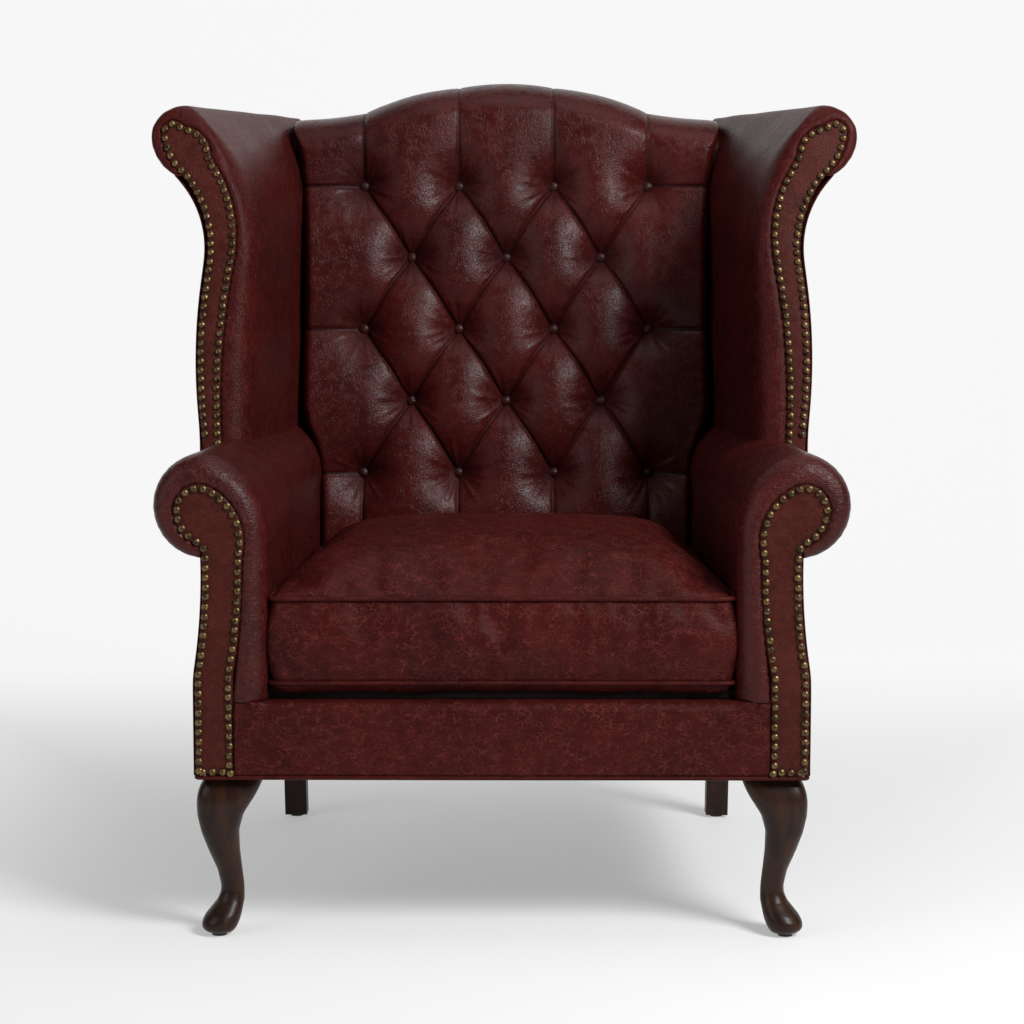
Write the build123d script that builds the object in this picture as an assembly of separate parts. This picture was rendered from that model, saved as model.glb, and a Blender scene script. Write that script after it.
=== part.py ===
from build123d import *
import math
import os

# Wingback chair: cabriole front legs, scroll arms, flared wings, deep-buttoned back, loose seat cushion.
# Millimetres, +Z up, +X to the right as seen from the front, +Y towards the back.
# The pieces are drawn with y = 0 at the front of the arm facings. They are written out with the
# origin under the middle of the chair, on the floor.

# Clearances and skins
gap = 0.3
leather = 2.0
panel_thick = 2.0
overrun = 20.0

# Heights of the base and seat
rail_bottom = 206.0
rail_height = 80.0
base_bottom = 204.3
deck_top = 306.0
arm_foot = 294.2

# Plan of the base
base_front_half = 372.0
base_rear_half = 338.0
rail_thick = 28.0

# Leaning back frame
crest_height = 1078.0
upright_drop = 93.0
upright_top = crest_height - upright_drop
recline = 9.0
hip_height = 300.0
frame_front_y = 636.0
frame_thick = 34.0
upright_inner = 296.0
frame_play = 0.5
upright_outer = 328.0
outside_back_thick = 4.0
strap_width = 50.0
strap_thick = 1.6

# Arms
arm_run = 690.0
arm_front_y = 2.0
arm_lip = 24.0
facing_thick = 5.0
post_thick = 28.0
arm_inner_rear = 262.0
arm_top = 593.0
roll_inset = 13.0
roll_x = base_front_half - roll_inset
arm_inner_reach = 73.0
arm_inner_front = roll_x - arm_inner_reach
roll_z = 531.0
roll_radius = 62.0
rear_roll_x = 312.0
rear_roll_outer = 342.0

# Wings
wing_forward = 428.0
wing_foot = 560.0
wing_front_drop = 53.0
wing_top_front = crest_height - wing_front_drop
wing_rear_drop = 56.0
wing_top_rear = crest_height - wing_rear_drop
wing_inner_inset = 32.0
wing_inner_front = roll_x - wing_inner_inset
wing_inner_rear = 288.0
ear_flare = 105.0
ear_reach = roll_x + ear_flare
wing_rear_outer = 340.0
wing_lip = 20.0
arc_facets = 4

# Buttoned back
crest_shoulder_x = 208.0
crest_shoulder_drop = 42.0
crest_end_drop = 10.0
crest_end_x = 300.0
button_pitch = 136.0
button_row_pitch = 102.0
button_top_drop = 150.0
button_top_row = crest_height - button_top_drop
back_loft = 108.0
back_tuck = 26.0
pleat_depth = 15.0
button_depth = 24.0
seam_loft = 52.0
crest_roll_height = 45.0
back_foot = 308.0
tuck_start = 500.0

# Seat cushion
cushion_side_play = 11.0
cushion_front_half = arm_inner_front - cushion_side_play
cushion_rear_half = 256.0
cushion_front_y = 22.0
cushion_rear_y = 540.0
cushion_draw = 4.0
cushion_corner = 20.0
cushion_bulge = 3.0
welt_low = 319.0
welt_high = 418.0
crown_rise = 56.0
crown_inset = 222.0
cushion_bottom = 306.4
belly_inset = 46.0
piping_radius = 2.6

# Front legs
leg_height = 205.7
leg_width = 75.0
leg_knee_reach = 1.0
leg_knee_x = base_front_half + leg_knee_reach
leg_knee_y = 7.0
glide_height = 3.7
glide_radius = 9.0
leg_block_share = 1.08
leg_corner_facets = 3

tan_lean = math.tan(math.radians(recline))
rail_top = rail_bottom + rail_height
outside_back_front = frame_thick + gap + strap_thick + gap
outside_back_rear = outside_back_front + outside_back_thick


def frame_y(z):
    """Front face of the leaning back frame at a height."""
    return frame_front_y + (z - hip_height) * tan_lean


outside_back_drop = crest_roll_height / 5
outside_back_top = crest_height - outside_back_drop
overall_depth = frame_y(outside_back_top) + outside_back_rear

nodes = {}


def mix(a, b, share):
    return a + (b - a) * share


def path_points(start, steps):
    """Points along an open path of steps: (end,) is a line, (middle, end) an arc in equal facets."""
    points = [start]
    for step in steps:
        if len(step) == 2:
            arc = Edge.make_three_point_arc(points[-1], *step)
            points += [arc.position_at(i / arc_facets) for i in range(1, arc_facets)]
        points.append(step[-1])
    return points


def wire_of(start, steps):
    """Closed outline from a start point and the steps of a path."""
    points = path_points(start, steps)
    if (points[-1] - start).length < gap / 100:
        points.pop()
    return Wire.make_polygon(points)


def slab(x0, x1, y0, y1, z0, z1):
    """Block between two corners."""
    return Pos(x0, y0, z0) * Box(x1 - x0, y1 - y0, z1 - z0, align=(Align.MIN, Align.MIN, Align.MIN))


def plan_prism(corners, z0, z1):
    """Upright prism over a plan polygon."""
    face = Face(Wire.make_polygon([(x, y, z0) for x, y in corners]))
    return Solid.extrude(face, Vector(0, 0, z1 - z0))


def side_prism(profile, x0, x1):
    """Prism across X over a profile of (y, z) points."""
    face = Face(Wire.make_polygon([(x0, y, z) for y, z in profile]))
    return Solid.extrude(face, Vector(x1 - x0, 0, 0))


def leaning(start, steps, forward_near, forward_far):
    """Board of the leaning frame: an outline in (x, z), between two distances in front of the frame."""
    def on_frame(point):
        return Vector(point[0], frame_y(point[1]) - forward_near, point[1])
    wire = wire_of(on_frame(start), [tuple(on_frame(p) for p in step) for step in steps])
    return Solid.extrude(Face(wire), Vector(0, forward_near - forward_far, 0))


def leaning_polygon(points, forward_near, forward_far):
    return leaning(points[0], [(p,) for p in points[1:]], forward_near, forward_far)


def add(name, shape):
    nodes[name] = shape


def add_group(name, shapes):
    """Equal pieces that share one node."""
    nodes[name] = Compound([solid for shape in shapes for solid in shape.solids()])


def pair(name, shape):
    """A right-hand piece and its mirror image."""
    nodes["right_" + name] = shape
    nodes["left_" + name] = shape.mirror(Plane.YZ)


def mirrored(corners):
    """A plan polygon from its right half, listed from front to rear."""
    return corners + [(-x, y) for x, y in reversed(corners)]


def base_half(y):
    return mix(base_front_half, base_rear_half, y / arm_run)


# Flared forms: arms and wings
# Rows of the arm's section as shares of the roll radius: arc mark, front x and z from the centre of the
# roll, rear x and z from the middle and top of the rear roll, and the outward direction.
# Rows marked arc are the middle of an arc between their neighbours.
arm_inner_share = (arm_inner_front - roll_x) / roll_radius
arm_inner_rear_share = (arm_inner_rear - rear_roll_x) / roll_radius
flank_share = (base_front_half - roll_x) / roll_radius
flank_rear_share = (base_rear_half - rear_roll_x) / roll_radius
rear_roll_share = (rear_roll_outer - rear_roll_x) / roll_radius
foot_share = (arm_foot - roll_z) / roll_radius
arm_over_shares = [
    (False, arm_inner_share, foot_share, arm_inner_rear_share, foot_share, (-1, 0)),
    (False, arm_inner_share, -0.82, arm_inner_rear_share, -1.26, (-1, 0)),
    (True, -0.903, 0.355, -0.6, -0.37, (-0.93, 0.37)),
    (False, 0.0, 1.0, 0.0, 0.0, (0, 1)),
    (True, 0.707, 0.707, 0.7 * rear_roll_share, -0.12, (0.7, 0.7)),
    (False, 1.0, 0.0, rear_roll_share, -0.44, (1, 0)),
    (True, 0.707, -0.707, 0.98 * rear_roll_share, -0.73, (0.7, -0.7)),
    (False, 0.03, -1.0, 0.95 * flank_rear_share, -1.0, (0.7, -0.7)),
]
arm_flank_shares = [
    arm_over_shares[-1],
    (True, flank_share - 0.17, -1.8, 0.93 * flank_rear_share, -2.0, (1, 0)),
    (False, flank_share, -3.34, flank_rear_share, -3.6, (1, 0)),
    (False, flank_share, foot_share, flank_rear_share, foot_share, (1, 0)),
]


def arm_point(row, y, grow, foot=None):
    """A row's place at a depth, moved outwards by grow; foot replaces the height of a foot row."""
    _, front_x, front_z, rear_x, rear_z, out = row
    share = y / arm_run
    x = mix(roll_x + front_x * roll_radius, rear_roll_x + rear_x * roll_radius, share) + grow * out[0]
    z = mix(roll_z + front_z * roll_radius, arm_top + rear_z * roll_radius, share) + grow * out[1]
    return Vector(x, y, z if foot is None else foot)


def flared_steps(points, rows):
    """Start and steps through placed points, reading the arc marks of their rows."""
    steps, middle = [], None
    for point, row in zip(points[1:], rows[1:]):
        if row[0]:
            middle = point
        elif middle is None:
            steps.append((point,))
        else:
            steps.append((middle, point))
            middle = None
    return points[0], steps


def arm_over(y, grow, foot=arm_foot):
    points = [arm_point(r, y, grow) for r in arm_over_shares]
    points[0] = arm_point(arm_over_shares[0], y, grow, foot)
    return flared_steps(points, arm_over_shares)


def arm_flank(y, grow, foot=base_bottom):
    points = [arm_point(r, y, grow) for r in arm_flank_shares]
    points[-1] = arm_point(arm_flank_shares[-1], y, grow, foot)
    return flared_steps(points, arm_flank_shares)


def full_ring(over, flank):
    """Points round a whole section."""
    start, steps = over
    return path_points(start, steps + flank[1])


def strip_ring(outer, inner, drop=Vector(0, 0, 0)):
    """Points round a band between two open paths of one direction, its first end lowered by drop."""
    out, back = path_points(*outer), path_points(*inner)
    return [out[0] - drop] + out[1:] + back[:0:-1] + [back[0] - drop]


def solid_of(triangles, polygons=()):
    """Solid inside flat triangles and polygons that close on each other."""
    faces = [Face(Wire.make_polygon(outline)) for outline in triangles + list(polygons)]
    return Solid(Shell(faces))


def faceted(rings, closed=False, band=False):
    """Solid through rings of points, in flat facets; open rings get flat ends.

    The second half of a band's ring runs back, so its facets are split the other way and stay
    level with those of the first half."""
    following = rings[1:] + rings[:1] if closed else rings[1:]
    turn = len(rings[0]) // 2 if band else len(rings[0])
    triangles = []
    for near, far in zip(rings, following):
        for i in range(len(near)):
            if i < turn:
                triangles += [(near[i - 1], near[i], far[i]), (near[i - 1], far[i], far[i - 1])]
            else:
                triangles += [(near[i - 1], near[i], far[i - 1]), (near[i], far[i], far[i - 1])]
    return solid_of(triangles, () if closed else (rings[0], rings[-1]))


def lip_stations(front, radius, skip=0):
    """Places and insets of a quarter-round front edge, from its front to its root."""
    quarter_shares = (1.0, 0.68, 0.36, 0.0)
    found = []
    for share in quarter_shares[skip:]:
        angle = math.radians(90 * share)
        found.append((front + radius * (1 - math.sin(angle)), -radius * (1 - math.cos(angle))))
    return found


arm_stations = (arm_front_y + arm_lip, (arm_front_y + arm_run) / 2, arm_run + overrun)


def arm_form(grow, skip=0):
    """Solid arm: rounded front edge, scroll section, tapering to the rear."""
    stations = lip_stations(arm_front_y, arm_lip, skip) + [(y, 0.0) for y in arm_stations[1:]]
    return faceted([full_ring(arm_over(y, grow + inset), arm_flank(y, grow + inset, arm_foot))
                    for y, inset in stations])


def arm_prism(grow, foot, stations):
    """Arm section without its rounded edge, down to a foot height."""
    return faceted([full_ring(arm_over(y, grow, foot), arm_flank(y, grow, foot)) for y in stations])


# Front face panels of the arms: one outline for the facing and, set in, for the post behind it, as shares
# of the roll radius from the centre of the roll; the outline stands on the bottom of the base
facing_shares = [
    ((-0.565, -3.3),),
    ((-0.716, -2.265), (-0.774, -1.0)),
    ((-0.532, 0.112), (-0.032, 0.452)),
    ((0.415, 0.302), (0.565, -0.1)),
    ((0.425, -0.5), (0.03, -0.8)),
    ((0.02, -1.7), (0.185, -3.3)),
]
facing_inner_low = roll_x + facing_shares[0][0][0] * roll_radius


def facing_outline(foot):
    """Start and steps in (x, z) of the scroll-topped panel."""
    steps = [tuple((roll_x + x * roll_radius, roll_z + z * roll_radius) for x, z in row)
             for row in facing_shares]
    return (facing_inner_low, foot), steps + [((steps[-1][-1][0], foot),)]


def grown(outline, grow):
    """The outline moved outwards by grow, mitred at its points; it runs up, over and down."""
    start, steps = outline
    points = [start] + [p for step in steps for p in step]
    moved = []
    for i, (x, z) in enumerate(points):
        before, after = points[i - 1], points[(i + 1) % len(points)]
        sides = []
        for (x0, z0), (x1, z1) in ((before, (x, z)), ((x, z), after)):
            length = math.hypot(x1 - x0, z1 - z0)
            sides.append((-(z1 - z0) / length, (x1 - x0) / length))
        (ax, az), (bx, bz) = sides
        mitre = grow / (1 + ax * bx + az * bz)
        moved.append((x + (ax + bx) * mitre, z + (az + bz) * mitre))
    new_steps, taken = [], 1
    for step in steps:
        new_steps.append(tuple(moved[taken:taken + len(step)]))
        taken += len(step)
    return moved[0], new_steps


def facing_board(grow, y0, y1, foot=base_bottom):
    start, steps = grown(facing_outline(foot), grow)
    placed = [tuple(Vector(p[0], y0, p[1]) for p in step) for step in steps]
    return Solid.extrude(Face(wire_of(Vector(start[0], y0, start[1]), placed)), Vector(0, y1 - y0, 0))


# Timber of the seat and arms
post_front = facing_thick + gap
post_rear = post_front + post_thick
front_rail_y = 8.0
post_inset = panel_thick + gap
front_rail_half = facing_inner_low - gap
rear_rail_front = frame_front_y
rear_rail_rear = frame_front_y + frame_thick - frame_play
side_rail_front = post_rear + gap
side_rail_rear = frame_front_y - gap
side_rail_cover = panel_thick + gap


def side_rail_outer(y):
    return base_half(y) - side_rail_cover


add("front_seat_rail", slab(-front_rail_half, front_rail_half, front_rail_y, front_rail_y + rail_thick,
                            rail_bottom, rail_top))
add("rear_seat_rail", slab(gap - upright_inner, upright_inner - gap, rear_rail_front, rear_rail_rear,
                           rail_bottom, rail_top))
pair("side_seat_rail", plan_prism([
    (side_rail_outer(side_rail_front) - rail_thick, side_rail_front),
    (side_rail_outer(side_rail_front), side_rail_front),
    (side_rail_outer(side_rail_rear), side_rail_rear),
    (side_rail_outer(side_rail_rear) - rail_thick, side_rail_rear)], rail_bottom, rail_top))
pair("arm_post", facing_board(-post_inset, post_front, post_rear, rail_bottom)
     & arm_prism(-post_inset, rail_bottom, (post_front, post_rear)))

# Corner blocks, glued and screwed into the four corners under the webbing
block_leg = 75.0
block_height = 50.0
bolt_inset = 54.0
bolt_x = base_front_half - bolt_inset
bolt_y = 57.0
bolt_radius = 4.0
bolt_bottom = 172.0
bolt_top = 244.0
bolt_play = 0.2


def corner_block(sign_x, front):
    y_wall = front_rail_y + rail_thick + gap if front else rear_rail_front - gap
    along = block_leg if front else -block_leg
    x_wall = side_rail_outer(y_wall + max(along, 0)) - rail_thick - gap
    if not front:
        x_wall = min(x_wall, upright_inner - gap)
    corners = [(sign_x * x_wall, y_wall), (sign_x * (x_wall - block_leg), y_wall),
               (sign_x * x_wall, y_wall + along)]
    return plan_prism(corners, rail_bottom, rail_bottom + block_height)


def upright_bolt(radius, x, y, z0, z1):
    return Pos(x, y, z0) * Cylinder(radius, z1 - z0, align=(Align.CENTER, Align.CENTER, Align.MIN))


blocks = [corner_block(s, f) for s in (1, -1) for f in (True, False)]
bolt_holes = [upright_bolt(bolt_radius + bolt_play, s * bolt_x, bolt_y, bolt_bottom - gap, bolt_top + gap)
              for s in (1, -1)]
blocks = [block - bolt_holes[0] - bolt_holes[1] for block in blocks]
add_group("corner_blocks", blocks)
add_group("leg_bolts", [upright_bolt(bolt_radius, s * bolt_x, bolt_y, bolt_bottom, bolt_top)
                        for s in (1, -1)])

# Arm rails, inside the rolls
arm_rail_size = 34.0
arm_rail_rear_size = 24.0
arm_rail_drop = 6.0
arm_rail_end = frame_y(arm_top - 2 * arm_rail_rear_size) - gap


def arm_rail_at(y, grow):
    share = y / arm_run
    size = mix(arm_rail_size, arm_rail_rear_size, share) / 2 + grow
    x = mix(roll_x - arm_rail_drop, rear_roll_x, share)
    z = mix(roll_z, arm_top - 1.45 * arm_rail_rear_size, share)
    corners = [(-size, -size), (size, -size), (size, size), (-size, size)]
    return Wire.make_polygon([(x + dx, y, z + dz) for dx, dz in corners])


def arm_rail(grow):
    ends = [arm_rail_at(post_rear + gap - grow, grow), arm_rail_at(arm_rail_end + grow, grow)]
    return Solid.make_loft(ends, ruled=True)


pair("arm_rail", arm_rail(0.0))

# Back uprights with the rear legs
rear_foot_y = 672.0
leg_bend_z = 190.0
rear_leg_foot = 30.0


def upright(grow):
    front, rear = frame_front_y - grow, frame_front_y + frame_thick - frame_play + grow
    profile = [
        (rear_foot_y - grow, glide_height + gap / 3), (front, leg_bend_z), (front, hip_height),
        (frame_y(upright_top) - grow, upright_top + grow),
        (frame_y(upright_top) + frame_thick + grow, upright_top + grow),
        (rear, hip_height), (rear, leg_bend_z), (rear_foot_y + rear_leg_foot + grow, glide_height + gap / 3)]
    return side_prism(profile, upright_inner - grow, upright_outer + grow)


pair("back_upright", upright(0.0))

# Crest rail and lower back rail


def crest_z(x):
    """Height of the crest line over the middle of the back."""
    reach = abs(x)
    radius = (crest_shoulder_x ** 2 + crest_shoulder_drop ** 2) / (2 * crest_shoulder_drop)
    if reach <= crest_shoulder_x:
        return crest_height - radius + math.sqrt(radius ** 2 - reach ** 2)
    share = min(1.0, (reach - crest_shoulder_x) / (crest_end_x - crest_shoulder_x))
    return crest_height - crest_shoulder_drop - crest_end_drop * (1 - (1 - share) ** 2)


def crest_steps(half, drop, foot):
    """Outline under the crest line: up the left side, along the crest, down the right side."""
    shoulder = crest_shoulder_x
    middle = mix(shoulder, half, 0.5)
    return (-half, foot), [
        ((-half, crest_z(half) - drop),),
        ((-middle, crest_z(middle) - drop), (-shoulder, crest_z(shoulder) - drop)),
        ((0.0, crest_z(0.0) - drop), (shoulder, crest_z(shoulder) - drop)),
        ((middle, crest_z(middle) - drop), (half, crest_z(half) - drop)),
        ((half, foot),)]


crest_rail_drop = 9.5
crest_rail_height = 123.0
crest_rail_foot = crest_height - crest_rail_height
lower_rail_foot = 330.0
lower_rail_top = 390.0
rail_half = upright_inner - gap
add("crest_rail", leaning(*crest_steps(rail_half, crest_rail_drop, crest_rail_foot), 0.0, -frame_thick))
add("lower_back_rail", leaning_polygon([
    (-rail_half, lower_rail_foot), (rail_half, lower_rail_foot),
    (rail_half, lower_rail_top), (-rail_half, lower_rail_top)], 0.0, -frame_thick))

# Wings, drawn as shares of the wing's reach and height at the front and at the rear
# Columns: arc mark, front x and z shares, rear x and z shares, outward direction
wing_over_shares = [
    (False, 0.04, 0.0, 0.04, 0.0, (-1, 0)),
    (False, 0.0, 0.516, 0.0, 0.69, (-1, 0)),
    (True, 0.146, 0.806, 0.12, 0.9, (-0.9, 0.4)),
    (False, 0.657, 1.0, 0.54, 1.0, (0, 1)),
    (True, 0.905, 0.97, 0.87, 0.985, (0.7, 0.7)),
    (False, 1.0, 0.905, 1.0, 0.952, (1, 0)),
    (True, 0.942, 0.854, 1.01, 0.92, (0.8, -0.6)),
    (False, 0.752, 0.804, 0.98, 0.887, (0.5, -0.85)),
]
wing_flank_shares = [
    wing_over_shares[-1],
    (True, 0.555, 0.725, 0.955, 0.8, (0.8, -0.5)),
    (False, 0.46, 0.559, 0.96, 0.69, (1, 0)),
    (True, 0.533, 0.301, 0.975, 0.39, (1, 0)),
    (False, 0.482, 0.086, 0.96, 0.086, (1, 0)),
    (False, 0.482, 0.0, 0.96, 0.0, (1, 0)),
]


def wing_point(row, forward, grow, foot=None):
    _, fx, fz, rx, rz, out = row
    share = (wing_forward - forward) / wing_forward
    front_x = wing_inner_front + fx * (ear_reach - wing_inner_front)
    rear_x = wing_inner_rear + rx * (wing_rear_outer - wing_inner_rear)
    front_z = wing_foot + fz * (wing_top_front - wing_foot)
    rear_z = wing_foot + rz * (wing_top_rear - wing_foot)
    x = mix(front_x, rear_x, share) + grow * out[0]
    z = mix(front_z, rear_z, share) + grow * out[1]
    if foot is not None:
        z = foot
    return Vector(x, frame_y(z) - forward, z)


def wing_over(forward, grow, foot=wing_foot):
    points = [wing_point(r, forward, grow) for r in wing_over_shares]
    points[0] = wing_point(wing_over_shares[0], forward, grow, foot)
    return flared_steps(points, wing_over_shares)


def wing_flank(forward, grow, foot=wing_foot):
    points = [wing_point(r, forward, grow) for r in wing_flank_shares]
    points[-1] = wing_point(wing_flank_shares[-1], forward, grow, foot)
    return flared_steps(points, wing_flank_shares)


wing_back_end = -frame_thick - overrun


def wing_stations(skip):
    return [(wing_forward - facing_thick / 2 - y, inset) for y, inset in lip_stations(0.0, wing_lip, skip)]


wing_run = (wing_forward / 2, wing_back_end)


def wing_form(grow, skip=0):
    """Solid wing: rounded front edge, flared section, tapering to the rear."""
    stations = wing_stations(skip) + [(forward, 0.0) for forward in wing_run]
    return faceted([full_ring(wing_over(forward, grow + inset), wing_flank(forward, grow + inset))
                    for forward, inset in stations])


# Facing of the wing, as shares of the wing's reach and height
wing_facing_shares = [
    ((0.255, 0.0),),
    ((0.285, 0.26), (0.17, 0.56)),
    ((0.2, 0.74), (0.4, 0.857)),
    ((0.5, 0.925), (0.65, 0.94)),
    ((0.84, 0.95), (0.87, 0.905)),
    ((0.8, 0.845), (0.66, 0.8)),
    ((0.49, 0.71), (0.435, 0.559)),
    ((0.515, 0.301), (0.468, 0.086)),
    ((0.455, 0.0),),
]


def wing_facing_outline(foot):
    def place(share):
        x = wing_inner_front + share[0] * (ear_reach - wing_inner_front)
        return (x, wing_foot + share[1] * (wing_top_front - wing_foot))
    start = place(wing_facing_shares[0][0])
    steps = [tuple(place(s) for s in row) for row in wing_facing_shares[1:]]
    if foot < wing_foot:
        end = steps[-1][-1]
        steps = steps + [((end[0], foot),), ((start[0], foot),)]
    return start, steps


wing_post_front = wing_forward - facing_thick - gap
wing_post_thick = 26.0
wing_post_foot = roll_z + 0.28 * roll_radius


arm_rail_slot = arm_rail(gap)
wing_post_rear = wing_post_front - wing_post_thick


def wing_post_board(grow):
    """The post's board; it is set in from the facing's outline by the outside panel."""
    outline = grown(wing_facing_outline(wing_post_foot), grow - post_inset)
    board = leaning(*outline, wing_post_front + grow, wing_post_rear - grow)
    inside = faceted([
        full_ring(wing_over(f, grow - post_inset, wing_post_foot - overrun),
                  wing_flank(f, grow - post_inset, wing_post_foot - overrun))
        for f in (wing_forward + overrun, wing_stations(0)[-1][0], wing_run[0])])
    return board & inside


wing_post_cut = wing_post_board(gap)
pair("wing_post", wing_post_board(0.0) - arm_rail_slot)

wing_rail_size = 26.0
wing_rail_rear_size = 22.0
wing_rail_side_share = 0.62
wing_rail_rise_share = 0.9


def wing_rail_at(forward, grow):
    share = (wing_forward - forward) / wing_forward
    size = mix(wing_rail_size, wing_rail_rear_size, share) / 2 + grow
    x_front = mix(wing_inner_front, ear_reach, wing_rail_side_share)
    x = mix(x_front, (upright_inner + upright_outer) / 2, share)
    z = mix(mix(wing_foot, wing_top_front, wing_rail_rise_share), upright_top - wing_rail_rear_size, share)
    corners = [(-size, -size), (size, -size), (size, size), (-size, size)]
    return Wire.make_polygon([(x + dx, frame_y(z + dz) - forward, z + dz) for dx, dz in corners])


def wing_rail(grow):
    near = wing_post_rear - gap + grow
    return Solid.make_loft([wing_rail_at(near, grow), wing_rail_at(gap - grow, grow)], ruled=True)


pair("wing_rail", wing_rail(0.0))

# Everything behind the frame, and the space between the uprights that arms and wings stay out of
behind_top = crest_height + overrun
behind = side_prism([
    (frame_front_y + frame_thick, 0.0), (frame_front_y + frame_thick, hip_height),
    (frame_y(behind_top) + frame_thick, behind_top), (frame_y(behind_top) + arm_run, behind_top),
    (frame_y(behind_top) + arm_run, 0.0)], -2 * base_front_half, 2 * base_front_half)
between = side_prism([
    (frame_front_y - gap, 0.0), (frame_front_y - gap, hip_height), (frame_y(behind_top) - gap, behind_top),
    (frame_y(behind_top) + arm_run, behind_top), (frame_y(behind_top) + arm_run, 0.0)],
    -upright_inner - gap, upright_inner + gap)


def cut(shape, tools):
    for tool in tools:
        shape = shape - tool
    found = sorted(shape.solids(), key=lambda s: -s.volume)
    return found[0]


# Arms: pad, cover, facing and outside panel
facing_room = facing_board(gap, -overrun, post_front)
post_room = facing_board(gap - post_inset, 0.0, post_rear + gap)
frame_rooms = [upright(gap), wing_post_cut, between, behind]
pair("arm_pad", cut(arm_form(-leather - gap, skip=1), [facing_room, post_room, arm_rail_slot] + frame_rooms))
arm_cover_stations = lip_stations(arm_front_y, arm_lip) + [(y, 0.0) for y in arm_stations[1:]]
arm_skin = faceted([strip_ring(arm_over(y, g), arm_over(y, g - leather)) for y, g in arm_cover_stations],
                   band=True)
lip_ring = cut(arm_prism(-arm_lip + gap, arm_foot, (arm_front_y, arm_front_y + leather)), [facing_room])
pair("arm_cover", cut(arm_skin + lip_ring, [facing_room, post_room] + frame_rooms))
pair("arm_facing", facing_board(0.0, 0.0, facing_thick))
panel_drop = Vector(0, 0, gap)
flank_rings = [strip_ring(arm_flank(y, 0.0), arm_flank(y, -panel_thick), panel_drop)
               for y in (post_front,) + arm_stations]
pair("outside_arm", cut(faceted(flank_rings, band=True), [behind]))

# Wings: pad, cover, facing and outside panel, standing on the arm
arm_below = arm_prism(gap, arm_foot - overrun, (-overrun,) + arm_stations)
wing_facing = leaning(*wing_facing_outline(wing_foot), wing_forward, wing_forward - facing_thick)
wing_facing_cut = leaning(*grown(wing_facing_outline(wing_foot), gap),
                          wing_forward + overrun, wing_post_front)
pair("wing_facing", cut(wing_facing, [arm_below]))
pair("wing_pad", cut(wing_form(-leather - gap, skip=1), [
    arm_below, wing_facing_cut, wing_rail(gap)] + frame_rooms))
wing_skin = faceted([strip_ring(wing_over(f, g), wing_over(f, g - leather))
                     for f, g in wing_stations(0) + [(forward, 0.0) for forward in wing_run]], band=True)
wing_ring_front = wing_forward - facing_thick / 2
wing_ring = faceted([full_ring(wing_over(f, gap - wing_lip), wing_flank(f, gap - wing_lip))
                     for f in (wing_ring_front, wing_ring_front - leather)])
wing_ring = cut(wing_ring, [wing_facing_cut])
pair("wing_cover", cut(wing_skin + wing_ring, [arm_below, wing_facing_cut] + frame_rooms))
leaning_drop = Vector(0, gap * tan_lean, gap)
wing_flank_rings = [strip_ring(wing_flank(f, 0.0), wing_flank(f, -panel_thick), leaning_drop)
                    for f in (wing_post_front, wing_stations(0)[-1][0]) + wing_run]
pair("outside_wing", cut(faceted(wing_flank_rings, band=True), [arm_below, behind]))

# Deep-buttoned back
# A grid of flat facets whose lines fall on the pleats: buttons sit on a diamond lattice, pleats run
# between neighbours, flutes run from the end rows to the crest and to the seat.
grid_steps = 3
half_pitch = button_pitch / 2
last_button_shares = 3
row_count = 5
side_shares = (0.42, 0.78, 1.0)
foot_shares = (1.0, 0.5)
rise_shares = (0.5,)
roll_angles = (0.0, 26.0, 50.0, 72.0, 96.0, 120.0)
puff_power = 1.15
dimple_reach = 26.0


def circle_through(a, b, c):
    """Centre and radius of the circle through three (x, z) points."""
    ax, az, bx, bz, cx, cz = *a, *b, *c
    d = 2 * (ax * (bz - cz) + bx * (cz - az) + cx * (az - bz))
    sa, sb, sc = ax * ax + az * az, bx * bx + bz * bz, cx * cx + cz * cz
    ux = (sa * (bz - cz) + sb * (cz - az) + sc * (az - bz)) / d
    uz = (sa * (cx - bx) + sb * (ax - cx) + sc * (bx - ax)) / d
    return ux, uz, math.hypot(ax - ux, az - uz)


def inner_face_x(points, z):
    """X of the inner face at a height, from foot, start of arc, middle of arc and top points."""
    foot, start, middle, top = [(p.X, p.Z) for p in points]
    if z <= start[1]:
        return mix(foot[0], start[0], max(0.0, (z - foot[1]) / (start[1] - foot[1])))
    if z >= top[1]:
        return top[0]
    cx, cz, radius = circle_through(start, middle, top)
    return cx - math.sqrt(max(0.0, radius ** 2 - (z - cz) ** 2))


side_play = 2.0
arm_side = [arm_point(r, frame_y(arm_top), 0.0) for r in arm_over_shares[:4]]
wing_side = [wing_point(r, 0.0, 0.0) for r in wing_over_shares[:4]]
wing_side_rear = [wing_point(r, -frame_thick, 0.0) for r in wing_over_shares[:4]]


def back_half(z, rolled=False):
    """Half the width of the buttoned back at a height, between arms and wings."""
    wing_x = inner_face_x(wing_side_rear if rolled else wing_side, z)
    arm_x = inner_face_x(arm_side, z) if z < arm_top else wing_x
    return min(arm_x, wing_x) - side_play


def ease(share):
    share = min(1.0, max(0.0, share))
    return share * share * (3 - 2 * share)


def puff(across, down):
    """Height share of the puffs, 0 on a pleat and 1 between pleats, from lattice coordinates."""
    wide = max(-last_button_shares, min(last_button_shares, across))
    deep = max(0.0, min(row_count - 1.0, down))
    if abs(across) > last_button_shares and (down < 0 or down > row_count - 1):
        beyond = max(-down, down - row_count + 1)
        corner = math.sin(math.pi / 2 * min(1.0, (abs(across) - last_button_shares) / 0.9))
        return (corner * math.sin(math.pi / 2 * min(1.0, beyond / 0.8))) ** puff_power
    a, b = (wide + deep + 1) / 2, (wide - deep + 1) / 2
    return (math.sin(math.pi * (a % 1.0)) * math.sin(math.pi * (b % 1.0))) ** (puff_power / 2)


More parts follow.
